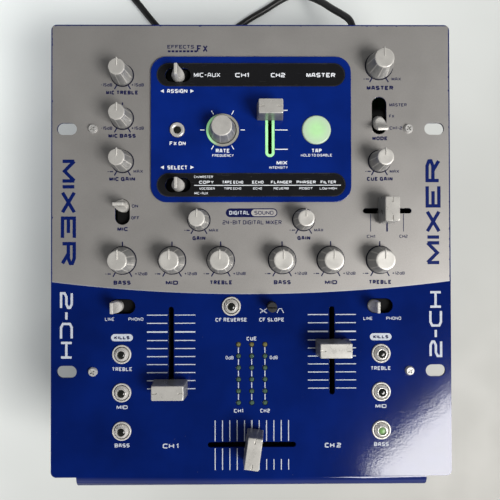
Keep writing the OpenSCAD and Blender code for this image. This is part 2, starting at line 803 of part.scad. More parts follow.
// Swinging lever about its pivot at the origin: boss, pin, neck, curved dust shield, head
module swing_lever(pivot, reach, slot_l) {
    shield_r = pivot - plate_t - shield_gap;
    spread = min(88, atan(slot_l / 2 / (pivot - plate_t)) + reach + 3);
    rotate([90, 0, 0]) {
        cylinder(h = 2 * (cheek_gap - slide_gap), r = boss_r, center = true);
        cylinder(h = 2 * (cheek_gap + cheek_t), r = pin_r, center = true);
        linear_extrude(shield_w, center = true) difference() {
            circle(shield_r);
            circle(shield_r - shield_t);
            translate([-pivot, -2 * pivot]) square(2 * pivot);
            for (s = [-1, 1]) rotate(-s * spread) translate([s > 0 ? 0 : -2 * pivot, -pivot])
                square([2 * pivot, 2 * pivot]);
        }
    }
    cylinder(h = shield_r, r = neck_r);
    translate([0, 0, pivot]) lever_head(shield_r - pivot - shield_t / 2);
}

// Sliding lever: runner in its block, neck, flat dust shield and head
module slide_lever(reach, slot_l) {
    slab(board_z + 2 + seat_gap, board_z + 2 + seat_gap + runner_h)
        square([slide_runner_l, track_in - 2 * slide_gap], center = true);
    slab(board_z + 3, shield_z + shield_t) square([4, neck_r], center = true);
    slab(shield_z, shield_z + shield_t) square([slot_l + 2 * reach, shield_w], center = true);
    translate([0, 0, plate_z]) lever_head(shield_z - plate_z + shield_t / 2);
}

module lever(l) color("silver")
    translate([l[1], l[2], 0]) rotate(l[3] ? 0 : 90)
        if (l[5] > 0) translate([0, 0, plate_z - l[5]]) rotate([0, l[6], 0]) swing_lever(l[5], l[7], l[4]);
        else translate([l[6], 0, 0]) slide_lever(l[7], l[4]);

// ---------------------------------------------------------------- buttons

plunger_r = 1.6;
button_flange = 0.9;
flange_t = 1.3;

// A push button at rest: flanged cap with a lens and a plunger into its switch
module button(b) {
    cap = b[3];
    h = b[4];
    lens = b[5];
    flange_z = plate_under - seat_gap - flange_t;
    color(b[0] == "tap_button" ? "palegreen" : "silver") translate([b[1], b[2], 0]) {
        difference() {
            union() {
                translate([0, 0, flange_z]) cylinder(h = flange_t, r = cap + button_flange);
                button_cap(b, flange_z, cap, h);
            }
            if (lens > 0) translate([0, 0, plate_z + h - 1.6]) cylinder(h = 3, r = lens + turn_gap);
        }
        translate([0, 0, board_z + 2.8 + press])
            cylinder(h = flange_z - board_z - 2.8 - press, r = plunger_r);
    }
    if (lens > 0) color("black") translate([b[1], b[2], plate_z + h - 1.6 + turn_gap])
        cylinder(h = 1.3, r = lens);
}

// Kill caps rise in a waisted cone to their rim; the others are low discs with a chamfer
module button_cap(b, z0, cap, h) {
    z1 = plate_z + h;
    rotate_extrude() polygon(b[6]
        ? [[0, z0], [cap, z0], [cap, plate_z + 0.3], [cap - 0.4, plate_z + 0.7],
           [kill_rim_r + 0.4, plate_z + 1.3], [kill_rim_r, plate_z + 1.9],
           [kill_rim_r, z1 - 0.25], [kill_rim_r - 0.25, z1], [0, z1]]
        : [[0, z0], [cap, z0], [cap, z1 - 0.5], [cap - 0.5, z1], [0, z1]]);
}

module button_bezels() color("silver") {
    for (b = BUTTONS) if (b[6]) translate([b[1], b[2], plate_z]) rotate_extrude()
        polygon([[b[3] + hole_gap, 0], [bezel_r, 0], [bezel_r, 0.6], [bezel_r - 0.4, 1.1],
            [b[3] + hole_gap + 0.3, 1.1], [b[3] + hole_gap, 0.7]]);
}

// Lever cheeks, slide blocks and button switches that stand on the control board
module switch_bodies() color("dimgray") {
    for (l = LEVERS) translate([l[1], l[2], 0]) rotate(l[3] ? 0 : 90)
        if (l[5] > 0) lever_cheeks(plate_z - l[5]);
        else difference() {
            slab(board_z, board_z + slide_block_h) square([l[4] + 4, track_w], center = true);
            slab(board_z + 2, board_z + slide_block_h + 1)
                square([slide_runner_l + 2 * l[7] + 2, track_in], center = true);
        }
    for (b = BUTTONS) translate([b[1], b[2], 0]) difference() {
        slab(board_z, board_z + 10) square(8, center = true);
        translate([0, 0, board_z + 2]) cylinder(h = 12, r = plunger_r + turn_gap);
    }
}

// Two cheeks joined by a floor, bored for the lever's pin
module lever_cheeks(pivot_z) {
    difference() {
        union() {
            for (s = [-1, 1]) slab(board_z, pivot_z + 3)
                translate([0, s * (cheek_gap + cheek_t / 2)]) square([cheek_l, cheek_t], center = true);
            slab(board_z, board_z + 1.4) square([cheek_l, 2 * cheek_gap + 1], center = true);
        }
        translate([0, 0, pivot_z]) rotate([90, 0, 0])
            cylinder(h = 20, r = pin_r + turn_gap, center = true);
    }
}

// ---------------------------------------------------------------- rear and front fittings

phono_body = 11;

// Pairs of phono sockets on the main board, their barrels through the rear panel, and the
// ground post beside them
module phono_sockets() color("gray") {
    for (i = [0:phono_cols - 1]) translate([phono_x0 + i * rear_pitch, rear_y, 0]) difference() {
        union() {
            translate([-phono_body / 2, -tray_t - phono_body, main_board_z + board_t])
                cube([phono_body, phono_body, phono_z + phono_row + 6 - main_board_z - board_t]);
            for (j = [0:1]) translate([0, 0, phono_z + j * phono_row]) rotate([-90, 0, 0]) {
                translate([0, 0, -tray_t - 1]) cylinder(h = tray_t + 1, r = phono_neck_r);
                cylinder(h = phono_l, r = phono_r);
            }
        }
        for (j = [0:1]) translate([0, phono_l, phono_z + j * phono_row]) rotate([90, 0, 0])
            difference() {
                translate([0, 0, -1]) cylinder(h = phono_l, r = phono_r - 0.7);
                translate([0, 0, 0.6]) cylinder(h = phono_l, r = 2.3);
            }
        for (j = [0:1]) translate([0, phono_l, phono_z + j * phono_row]) rotate([90, 0, 0])
            translate([0, 0, -1]) cylinder(h = phono_l + 6, r = 1.65);
    }
    translate([ground_x, rear_y - tray_t, ground_z]) rotate([-90, 0, 0]) {
        translate([0, 0, -3]) cylinder(h = 3, r = 4);
        cylinder(h = tray_t + 8, r = 2);
        translate([0, 0, tray_t + 2]) cylinder(h = 4, r = 4.5);
    }
}

// Quarter-inch jacks behind the front wall, each with a round nut outside it
jack_bore_r = 3.25;
nut_r = 6.4;

module front_jacks() color("black") {
    for (s = [-1, 1]) translate([s * jack_x, front_y, jack_z]) rotate([-90, 0, 0]) difference() {
        union() {
            translate([0, 0, -2.2]) cylinder(h = 2.2, r = nut_r);
            translate([0, 0, -0.5]) cylinder(h = plate_t + 1, r = jack_thread_r);
            translate([0, 0, plate_t]) slab(0, 22) square([15, 13], center = true);
        }
        translate([0, 0, -3]) cylinder(h = 22, r = jack_bore_r);
    }
}

rocker_r = 6.6;
rocker_w = 8;
rocker_in = 2.2;
rocker_tilt = 9;

module power_switch_housing() color("black") translate([switch_x, rear_y, switch_z]) {
    difference() {
        union() {
            translate([-switch_w / 2 - 1.2, 0, -switch_h / 2 - 1.2])
                cube([switch_w + 2.4, 1.4, switch_h + 2.4]);
            translate([-switch_w / 2, -14, -switch_h / 2]) cube([switch_w, 14.5, switch_h]);
        }
        translate([-rocker_w / 2 - slide_gap, -12, -rocker_r - 2 * slide_gap])
            cube([rocker_w + 2 * slide_gap, 14, 2 * rocker_r + 4 * slide_gap]);
        translate([0, -rocker_in, 0]) rotate([0, 90, 0])
            cylinder(h = switch_w - 1.6, r = 1 + turn_gap, center = true);
    }
}

// Rocker: a drum about its pivot with a shallow V face, tilted to one side at rest
module power_rocker() color("red") translate([switch_x, rear_y - rocker_in, switch_z])
    rotate([rocker_tilt, 0, 0]) {
        rotate([90, 0, 90]) linear_extrude(rocker_w, center = true) intersection() {
            circle(rocker_r);
            polygon([[-4, -9], [-4, 9], [4.8, 9], [3.4, 0], [4.8, -9]]);
        }
        rotate([0, 90, 0]) cylinder(h = switch_w - 2, r = 1, center = true);
    }

// ---------------------------------------------------------------- power cord

relief_end = rear_y + relief_l;

module strain_relief() color("black") translate([cord_x, rear_y, cord_z]) rotate([-90, 0, 0])
    rotate_extrude() polygon([[0, -tray_t - 4], [relief_r + 1, -tray_t - 4], [relief_r + 1, -tray_t],
        [relief_r, -tray_t], [relief_r, 0], [relief_r + 1.6, 0], [relief_r + 1.6, 2],
        [relief_r - 0.6, 3], [cord_d / 2 + 0.6, relief_l], [0, relief_l]]);

// Lead from the strain relief along the table to the coil, then the tail from coil to plug
cord_floor = cord_d / 2;
coil_off = [-146, 108.4];
coil_at = [cord_x, rear_y] + coil_off;
coil_turns = 8.28;
plug_axis = 8;
lead_air = [[0, 27.4, 30], [-2, 32.4, 29], [-6, 37.4, 26], [-13, 44.4, 21], [-20, 52.4, 15],
    [-28, 59.4, 9], [-37, 63.4, 5]];
lead_floor = [[-45, 63.4], [-53, 59.4], [-64, 52.4], [-76, 45.4], [-88, 37.4], [-100, 30.4],
    [-112, 26.4], [-124, 25.4], [-136, 28.4], [-146, 35.4], [-155, 45.4], [-163, 55.4],
    [-171, 65.4], [-177, 76.4], [-182, 88.4], [-185, 100.4]];
LEAD = concat([[cord_x, relief_end, cord_z]],
    [for (p = lead_air) [cord_x + p[0], rear_y + p[1], p[2]]],
    [for (p = lead_floor) [cord_x + p[0], rear_y + p[1], cord_floor]]);
lead_end = LEAD[len(LEAD) - 1];
coil_out_r = norm([lead_end[0] - coil_at[0], lead_end[1] - coil_at[1]]);
coil_in_r = coil_out_r - coil_turns / 2 * cord_d;
tail_y = coil_at[1] + coil_out_r;
TAIL = [for (x = [0, 10, 22, 34]) [coil_at[0] + x, tail_y, x > 0 ? plug_axis : cord_floor + cord_d]];

function unit(v) = v / norm(v);
function along(p, i) = unit(p[min(i + 1, len(p) - 1)] - p[max(i - 1, 0)]);

// A round tube through the points of a path, n sides, closed by flat ends
module tube(path, r, n = 10) {
    rings = [for (i = [0:len(path) - 1])
        let (t = along(path, i), side = unit(cross(t, [0, 0, 1])), up = cross(side, t))
        for (j = [0:n - 1]) path[i] + r * (cos(j * 360 / n) * side + sin(j * 360 / n) * up)];
    last = len(path) - 1;
    faces = concat(
        [[for (j = [0:n - 1]) j]],
        [for (i = [0:last - 1], j = [0:n - 1])
            [i * n + j, (i + 1) * n + j, (i + 1) * n + (j + 1) % n, i * n + (j + 1) % n]],
        [[for (j = [n - 1:-1:0]) last * n + j]]);
    polyhedron(rings, faces);
}

module power_cord() color("black") {
    tube(LEAD, cord_d / 2);
    tube(TAIL, cord_d / 2);
}

// Outer shape of the coil: half its turns wind inwards, and half outwards on top of them
module power_cord_coil() color("black") translate([coil_at[0], coil_at[1], 0])
    rotate_extrude() translate([coil_in_r - cord_d / 2, 0])
        square([coil_out_r - coil_in_r + cord_d, 2 * cord_d]);

plug_w = 24;
plug_l = 26;
blade_l = 17;

// Moulded plug lying on its side, its cord end at the end of the tail
module mains_plug() color("black") translate(TAIL[len(TAIL) - 1]) {
    rotate([0, 90, 0]) cylinder(h = 18, r1 = cord_d / 2 + 0.5, r2 = 4.4);
    rotate([90, 0, 90]) translate([0, 0, 18]) linear_extrude(plug_l)
        rounded(plug_w, 2 * plug_axis, 4);
    for (s = [-1, 1]) translate([18 + plug_l - 1, s * 6.35 - 0.75, -3.15])
        cube([blade_l + 1, 1.5, 6.3]);
}

// ---------------------------------------------------------------- nodes

face_plate();
front_wall();
chassis_tray();
rear_panel();
fx_panel();
display_windows();
light_guides();
meter_lamps();
screws_and_standoffs();
rubber_feet();
control_board();
potentiometers();
fader_tracks();
switch_bodies();
button_bezels();
main_board();
phono_sockets();
transformer();
front_jacks();
power_switch_housing();
power_rocker();
slope_shaft();
strain_relief();
power_cord();
power_cord_coil();
mains_plug();
for (k = KNOBS) knob(k);
for (f = FADERS) fader(f);
for (l = LEVERS) lever(l);
for (b = BUTTONS) button(b);
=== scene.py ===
"""Tabletop two-channel DJ mixer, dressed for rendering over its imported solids.

Sizes in the tables below are millimetres in the part's own frame: +X to the user's right,
+Y to the rear, +Z up, and z = 0 under the feet.
"""
import math

import bpy
import numpy as np
from mathutils import Euler, Matrix, Vector


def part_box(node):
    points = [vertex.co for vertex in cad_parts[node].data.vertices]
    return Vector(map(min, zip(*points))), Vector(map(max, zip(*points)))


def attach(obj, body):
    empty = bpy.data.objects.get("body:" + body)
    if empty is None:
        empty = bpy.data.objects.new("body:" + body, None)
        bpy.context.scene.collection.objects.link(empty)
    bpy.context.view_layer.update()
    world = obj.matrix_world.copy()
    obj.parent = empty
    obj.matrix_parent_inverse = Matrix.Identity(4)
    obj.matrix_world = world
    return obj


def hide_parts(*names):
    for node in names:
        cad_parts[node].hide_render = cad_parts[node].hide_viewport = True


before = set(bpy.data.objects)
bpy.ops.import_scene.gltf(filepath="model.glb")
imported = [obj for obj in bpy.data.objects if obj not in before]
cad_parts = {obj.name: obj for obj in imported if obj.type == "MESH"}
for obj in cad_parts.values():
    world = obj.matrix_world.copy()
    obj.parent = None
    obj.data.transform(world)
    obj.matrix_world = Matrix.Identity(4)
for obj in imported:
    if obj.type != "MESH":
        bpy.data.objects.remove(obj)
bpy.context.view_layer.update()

bl_info = {
    "name": "DJ mixer",
    "version": (1, 0, 0),
    "blender": (4, 5, 0),
    "location": "3D View > Sidebar > Mixer",
    "description": "Finishes, prints, controls and fittings of a two-channel DJ mixer",
    "category": "Object",
}

MM = 0.001
# tops of the plate, the raised panel and its windows; the plate's underside; the board's top,
# and above it the feet of the shafts and runners and of the buttons' stems
PLATE_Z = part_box("face_plate")[1][2] / MM
FX_Z, WINDOW_Z = PLATE_Z + 1.2, PLATE_Z + 0.8
SHEET = 1.5
UNDER = PLATE_Z - SHEET
BOARD_Z = UNDER - 18.5
FOOT_Z, STEM_Z = BOARD_Z + 2.3, BOARD_Z + 4
# between the plate's underside and the levers' dust shields
SHIELD_GAP = 0.7
REAR_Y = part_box("rear_panel")[1][1] / MM
FRONT_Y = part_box("face_plate")[0][1] / MM

# skirt radius, top radius, height
SMALL, LARGE, RATE = (6.8, 5.0, 15.5), (8.5, 6.0, 14.0), (8.5, 6.4, 12.8)
KNOBS = {
    "mic_treble_knob": (-81.8, 111.2, SMALL), "mic_bass_knob": (-81.8, 83.7, SMALL),
    "mic_gain_knob": (-81.8, 56.2, SMALL), "cue_gain_knob": (81.8, 56.2, SMALL),
    "master_knob": (81.8, 117.2, LARGE), "ch1_gain_knob": (-33.3, 19.0, SMALL),
    "ch2_gain_knob": (33.3, 19.0, SMALL), "ch1_bass_knob": (-81.8, -6.6, LARGE),
    "ch1_mid_knob": (-50.4, -6.6, LARGE), "ch1_treble_knob": (-19.5, -6.6, LARGE),
    "ch2_bass_knob": (19.5, -6.6, LARGE), "ch2_mid_knob": (50.4, -6.6, LARGE),
    "ch2_treble_knob": (81.8, -6.6, LARGE), "rate_knob": (-18.1, 76.0, RATE)}
# x, y of the cap at rest, length of its top, turn in degrees (0 when long along X)
FADERS = {
    "ch1_fader": (-51.0, -86.5, 19.4, 0.0), "ch2_fader": (51.0, -61.5, 19.4, 0.0),
    "crossfader": (0.8, -123.4, 19.4, 82.0), "mix_fader": (11.9, 87.0, 14.8, 0.0),
    "cue_fader": (85.5, 24.6, 14.8, 90.0)}
# x, y of the slot, moves along X, slot length, pivot depth (0 slides), rest tilt or offset
LEVERS = {
    "assign_lever": (-46.5, 111.3, True, 16.4, 13.0, 0.0),
    "select_lever": (-46.5, 41.2, True, 16.4, 13.0, 0.0),
    "mode_lever": (81.8, 85.5, False, 24.0, 9.0, -31.0),
    "mic_lever": (-81.8, 24.2, False, 16.4, 0.0, 3.9),
    "ch1_input_lever": (-81.8, -35.8, True, 16.4, 0.0, -3.9),
    "ch2_input_lever": (81.8, -35.8, True, 16.4, 0.0, -3.9)}
KILLS = {f"ch{c}_{tone}_kill_button": (side * 82.2, y) for c, side in ((1, -1), (2, 1))
         for tone, y in (("treble", -66.0), ("mid", -90.2), ("bass", -114.4))}
KILLS["reverse_button"] = (-12.8, -35.8)
LAMP_COLUMNS, LAMP_PITCH = (-8.4, 0.0, 8.4), 7.38

CORD_D = 5.0
FLOOR_R = CORD_D / 2
COIL_AT = np.array([-70.0, 248.0])
COIL_TURNS = 8.28
# middle line from the rear panel down to the floor, then x, y along the floor
DOWN = [(76, 164.6, 30), (76, 167, 30), (74, 172, 29), (70, 177, 26), (63, 184, 21),
        (56, 192, 15), (48, 199, 9), (39, 203, 5)]
ALONG = [(31, 203), (23, 199), (12, 192), (0, 185), (-12, 177), (-24, 170), (-36, 166),
         (-48, 165), (-60, 168), (-70, 175), (-79, 185), (-87, 195), (-95, 205), (-101, 216),
         (-106, 228), (-109, 240)]
LEAD = np.array(DOWN + [(x, y, FLOOR_R) for x, y in ALONG])
COIL_R = np.hypot(*(LEAD[-1, :2] - COIL_AT))
PLUG_Y, PLUG_Z = COIL_AT[1] + COIL_R, 8.0


# ---------- properties

def linear(value):
    """One sRGB value from 0 to 255 as scene-linear light."""
    v = value / 255
    return v / 12.92 if v <= 0.04045 else ((v + 0.055) / 1.055) ** 2.4


def colour(name, words, default):
    """A colour property, written as sRGB values from 0 to 255."""
    return bpy.props.FloatVectorProperty(
        name=name, description=words, subtype="COLOR", size=3, min=0.0, max=1.0,
        default=[linear(v) for v in default])


def number(name, words, default, low, high, **kind):
    """A property that is a plain number."""
    return bpy.props.FloatProperty(
        name=name, description=words, default=default, min=low, max=high, **kind)


def length(name, words, *sizes):
    """A length property in metres, its default, minimum and maximum written in millimetres."""
    return number(name, words, *(size * MM for size in sizes), subtype="DISTANCE",
                  unit="LENGTH", precision=5)


class MixerPaint(bpy.types.PropertyGroup):
    """Colours of the painted sheet and the prints."""
    silver: colour("Silver", "Metallic paint of the upper part of the face plate", (166, 163, 160))
    navy: colour("Navy", "Paint of the lower part, the front and the case", (3, 24, 88))
    panel_blue: colour("Panel blue", "Paint of the raised effects panel", (4, 32, 110))
    ink: colour("Ink", "Prints on the silver paint", (16, 20, 68))
    light_ink: colour("Light ink", "Prints on the blue half of the plate", (184, 189, 200))
    white_ink: colour("White ink", "Prints on the effects panel and its windows", (226, 229, 234))
    peel: number("Orange peel", "Strength of the paint's fine waviness", 0.06, 0.0, 1.0,
                 subtype="FACTOR")


class MixerControls(bpy.types.PropertyGroup):
    """Shapes and colours of the knobs, caps, levers and buttons."""
    plastic: colour("Silver plastic", "Metallic plastic of knobs, caps and buttons",
                    (213, 210, 204))
    flutes: bpy.props.IntProperty(
        name="Flutes", description="Number of shallow grips round a knob", default=9, min=3,
        max=24)
    flute_depth: length("Flute depth", "Depth of a knob's grips", 0.18, 0.0, 1.0)
    lit: colour("Lit green", "Light guides, tap button and lit lens", (160, 226, 160))
    lit_strength: number("Glow", "Light given off by the lit parts", 0.35, 0.0, 3.0)


class MixerPrint(bpy.types.PropertyGroup):
    """Screen-printed words and lines."""
    film: length("Ink film", "Height of the prints above the paint", 0.05, 0.02, 0.2)
    line: length("Line width", "Width of the thin scale lines", 0.5, 0.2, 1.0)
    weight: number("Letter weight", "Thickness of a bold letter's strokes, in letter heights",
                   0.225, 0.1, 0.35)


class MixerStage(bpy.types.PropertyGroup):
    """Floor and lights."""
    floor: colour("Floor", "Colour of the floor", (206, 206, 203))
    window: number("Window light", "Radiance of the soft key light", 19.0, 0.0, 50.0)
    fill: number("Fill light", "Even light from all round", 0.38, 0.0, 2.0)


# ---------- meshes

def wall(rings, wrap=False):
    """A skin over a stack of rings, (rings, points, 3), each counter-clockwise seen from the end.

    Ring i joins ring i+1 in quads. wrap joins the last ring to the first; without it the first
    and last ring are closed with one flat face each. The faces are turned outwards: the signed
    volume, the sum of a . (b x c) over the quads' triangles, is made positive.
    """
    rings = np.asarray(rings, float)
    n, m = rings.shape[:2]
    i, j = np.arange(n if wrap else n - 1)[:, None], np.arange(m)[None, :]
    up, side = (i + 1) % n, (j + 1) % m
    quads = np.stack([i * m + j, i * m + side, up * m + side, up * m + j], -1).reshape(-1, 4)
    faces = quads.tolist()
    if not wrap:
        faces += [list(range(m - 1, -1, -1)), list(range((n - 1) * m, n * m))]
    points = rings.reshape(-1, 3)
    fans = np.array([(f[0], f[k], f[k + 1]) for f in faces for k in range(1, len(f) - 1)])
    a, b, c = (points[fans[:, k]] for k in range(3))
    if (a * np.cross(b, c)).sum() < 0:
        faces = [f[::-1] for f in faces]
    return points, faces


def join(*patches):
    """Several (points, faces) patches as one."""
    points, faces, start = [], [], 0
    for p, f in patches:
        points.append(p)
        faces += [[v + start for v in face] for face in f]
        start += len(p)
    return np.concatenate(points), faces


def moved(patch, to, turn=0.0):
    """A patch turned about Z by degrees and carried to (x, y, z)."""
    c, s = math.cos(math.radians(turn)), math.sin(math.radians(turn))
    return (patch[0] @ np.array([[c, s, 0], [-s, c, 0], [0, 0, 1]]) + to, *patch[1:])


def at_places(patch, places):
    """The patch once at each place (x, y, z)."""
    return join(*[moved(patch, place) for place in places])


def turned(axis, local):
    """Points with their own z along the axis instead, keeping their handedness."""
    return np.roll(local, "zxy".index(axis), -1)


def angles(steps):
    """A whole turn in equal steps."""
    return np.arange(steps) * (2 * math.pi / steps)


def polar(r, t, z):
    """Points (r cos t, r sin t, z)."""
    return np.stack(np.broadcast_arrays(r * np.cos(t), r * np.sin(t), z), -1)


def lathe(profile, centre=(0, 0, 0), steps=48, axis="z", wrap=False):
    """A profile (radius, height) carried round an axis: (r cos t, r sin t, h) for t in a turn."""
    r, h = np.array(profile, float).T[:, :, None]
    points, faces = wall(polar(r, angles(steps), h), wrap)
    return turned(axis, points) + centre, faces


def rod(r, z0, z1, centre, steps):
    """A round rod with flat ends."""
    return lathe([(0, z0), (r, z0), (r, z1), (0, z1)], centre, steps)


def oblong(half_x, half_y, r, corner=6):
    """Outline of a rectangle with corner radius r: quarter turns about the four corner centres."""
    t = np.concatenate([np.linspace(q, q + 0.5, corner) for q in (0, 0.5, 1, 1.5)]) * math.pi
    sx, sy = np.repeat([1, -1, -1, 1], corner), np.repeat([1, 1, -1, -1], corner)
    return np.stack([sx * (half_x - r) + r * np.cos(t), sy * (half_y - r) + r * np.sin(t)], -1)


def slot_outline(half_l, half_w):
    """Outline of a slot with round ends, long along X."""
    return oblong(half_l, half_w, half_w - 1e-4, 9)


def stack(outlines, heights):
    """Rings at the given heights over (x, y) outlines with equal numbers of points."""
    return np.stack([np.column_stack([o, np.full(len(o), z)])
                     for o, z in zip(outlines, heights)])


def block(x0, x1, y0, y1, z0, z1, r=0.4):
    """A box with rounded upright edges and a small chamfer at top and bottom."""
    c = min(0.25, r / 2)
    outs = [oblong((x1 - x0) / 2 - e, (y1 - y0) / 2 - e, max(r - e, 0.01)) for e in (c, 0, 0, c)]
    return moved(wall(stack(outs, (z0, z0 + c, z1 - c, z1))), ((x0 + x1) / 2, (y0 + y1) / 2, 0))


def flat(outline, z):
    """A flat patch with a convex outline, z[0] to z[1]."""
    return wall(stack([outline, outline], z))


def bar(a, b, width, z):
    """A flat bar of a given width from a to b: a + s (b - a) + w side, z[0] to z[1]."""
    a, b = np.asarray(a, float), np.asarray(b, float)
    side = np.array([a[1] - b[1], b[0] - a[0]]) / np.hypot(*(b - a)) * width / 2
    return flat(np.array([a - side, b - side, b + side, a + side]), z)


def frame_band(outer, inner, z0, z1):
    """A flat frame between two outlines with equal numbers of points."""
    return wall(stack([outer, outer, inner, inner], (z0, z1, z1, z0)), wrap=True)


def new_piece(name, patch, material, slot, body="case", smooth=35.0, stands_for=()):
    """Makes a mesh object at the origin from millimetre points, and rides it on its body.

    A patch may carry a third entry, painted shade on each point, from 0 (none) to 1 (darkest).
    """
    points, faces, *grime_and_painted_shade = patch
    mesh = bpy.data.meshes.new(name)
    mesh.from_pydata((np.asarray(points) * MM).tolist(), [], faces)
    if grime_and_painted_shade:
        mesh.attributes.new("grime_and_painted_shade", "FLOAT", "POINT").data.foreach_set("value", grime_and_painted_shade[0])
    mesh.validate()
    if smooth:
        mesh.shade_smooth()
        mesh.set_sharp_from_angle(angle=math.radians(smooth))
    mesh.materials.append(material)
    piece = bpy.data.objects.new(name, mesh)
    bpy.context.scene.collection.objects.link(piece)
    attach(piece, body)
    if stands_for:
        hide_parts(*stands_for)
    return piece


def control(name, suffix, patch, material, slot, smooth=35.0):
    """A piece of one moving control, in place of its solid."""
    new_piece(name + suffix, patch, material, slot, name, smooth, (name,))


def printed(name, material, slot, *patches):
    """Flat prints as one piece."""
    new_piece(name, join(*patches), material, slot, smooth=0)


def given(thing, **values):
    """Sets attributes of a thing and returns it."""
    for key, value in values.items():
        setattr(thing, key, value)
    return thing


def soften(width, finish, *nodes):
    """Gives carried-over solids a finish and a small rounding on their sharp edges."""
    for node in nodes:
        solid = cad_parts[node]
        solid.data.materials.clear()
        solid.data.materials.append(finish)
        if width:
            given(solid.modifiers.new("Weld", "WELD"), merge_threshold=1e-6)
            given(solid.modifiers.new("Bevel", "BEVEL"), width=width * MM, segments=2,
                  limit_method="ANGLE", angle_limit=math.radians(40), use_clamp_overlap=True,
                  harden_normals=True)


# ---------- finishes

class Wire:
    """One output of a node. + - * and abs() on it add a Math node."""

    def __init__(self, nodes, socket):
        self.nodes, self.socket = nodes, socket

    def __add__(self, other):
        return self.nodes.math("ADD", self, other)

    def __sub__(self, other):
        return self.nodes.math("SUBTRACT", self, other)

    def __mul__(self, other):
        return self.nodes.math("MULTIPLY", self, other)

    def __abs__(self):
        return self.nodes.math("ABSOLUTE", self)


class Nodes:
    """The shader nodes of a material or world, built on its own coordinates."""

    def __init__(self, owner, place="Object"):
        owner.use_nodes = True
        self.owner, self.tree = owner, owner.node_tree
        self.tree.nodes.clear()
        self.place = Wire(self, self.node("TexCoord").outputs[place])
        cut = self.node("SeparateXYZ", self.place)
        self.x, self.y, self.z = (Wire(self, out) for out in cut.outputs)

    def node(self, kind, *values, **sockets):
        """Adds a node and feeds its inputs, in order and by name."""
        node = self.tree.nodes.new("ShaderNode" + kind)
        for key, value in (*enumerate(values), *sockets.items()):
            self.feed(node.inputs[key if isinstance(key, int) else key.replace("_", " ")],
                      value)
        return node

    def feed(self, socket, value):
        """Links a wire to a socket, or sets the socket's value."""
        if isinstance(value, Wire):
            self.tree.links.new(value.socket, socket)
        elif socket.type == "RGBA" and len(value) == 3:
            socket.default_value = (*value, 1.0)
        else:
            socket.default_value = value

    def out(self, kind, key=0, *values, **sockets):
        """One output of a new node."""
        return Wire(self, self.node(kind, *values, **sockets).outputs[key])

    def math(self, kind, *values):
        """The result of one Math node."""
        wire = self.out("Math", 0, *values)
        wire.socket.node.operation = kind
        return wire

    def grime_and_painted_shade(self):
        """The mesh's own painted-shade values, one per point."""
        wire = self.out("Attribute", "Fac")
        wire.socket.node.attribute_name = "grime_and_painted_shade"
        return wire

    def noise(self, scale, detail=2.0, rough=0.5, stretch=None):
        """Fractal noise, its coordinates multiplied by stretch."""
        where = self.out("Mapping", Vector=self.place, Scale=stretch) if stretch else self.place
        return self.out("TexNoise", "Fac", Vector=where, Scale=scale, Detail=detail,
                        Roughness=rough)

    def cells(self, scale):
        """Distance from the nearest point of a random scatter."""
        return self.out("TexVoronoi", "Distance", Vector=self.place, Scale=scale)

    def ramp(self, value, low, high, to_low=0.0, to_high=1.0):
        """The value carried from low..high to to_low..to_high, and held beyond them."""
        return self.out("MapRange", "Result", Value=value, From_Min=low, From_Max=high,
                        To_Min=to_low, To_Max=to_high)

    def cloud(self, scale, detail=2.0, rough=0.5, low=0.3, high=0.7, to_low=0.0, to_high=1.0,
              stretch=None):
        """Noise through a ramp."""
        return self.ramp(self.noise(scale, detail, rough, stretch), low, high, to_low, to_high)

    def blend(self, factor, a, b, how="MIX", kind="RGBA"):
        """From a to b by a factor, as colours or as numbers (kind FLOAT)."""
        first, out = (6, 2) if kind == "RGBA" else (2, 0)
        node = given(self.node("Mix"), data_type=kind, blend_type=how)
        for key, value in ((0, factor), (first, a), (first + 1, b)):
            self.feed(node.inputs[key], value)
        return Wire(self, node.outputs[out])

    def mottle(self, factor, tone, dark, light):
        """One tone blended from a darker to a lighter multiple of itself."""
        return self.blend(factor, *shades(tone, dark, light))

    def bump(self, height, strength, reach=0.0001):
        """A normal tilted by a height, at most reach metres deep."""
        return self.out("Bump", Height=height, Strength=strength, Distance=reach)

    def shade(self, colour, rough, **sockets):
        """Ends the material in one Principled shader and returns the material."""
        self.node("OutputMaterial", self.out("BsdfPrincipled", Base_Color=colour,
                                             Roughness=rough, **sockets))
        return self.owner


def finish(name):
    """The nodes of a new material."""
    return Nodes(bpy.data.materials.new(name))


def shades(base, *by):
    """One colour multiplied by each number."""
    return [tuple(np.clip(np.asarray(base) * k, 0, 1)) for k in by]


def dusty(f, colour, amount=0.5):
    """Lays a few pale dust specks over a colour, thick in places."""
    specks = f.ramp(f.cells(260.0), 0.045, 0.02) * f.cloud(34.0, 1.0, low=0.56, high=0.66)
    return f.blend(specks * amount, colour, (0.42, 0.42, 0.42))


def coated(f, colour, rough, peel, **sockets):
    """Ends a paint in its clear coat, with orange peel: two scales of fine waves."""
    waves = f.noise(800.0) + f.noise(240.0, 1.0) * 0.9
    return f.shade(colour, rough, Specular_IOR_Level=0.0, Coat_IOR=1.5,
                   Coat_Normal=f.bump(waves, peel, 0.0003), **sockets)


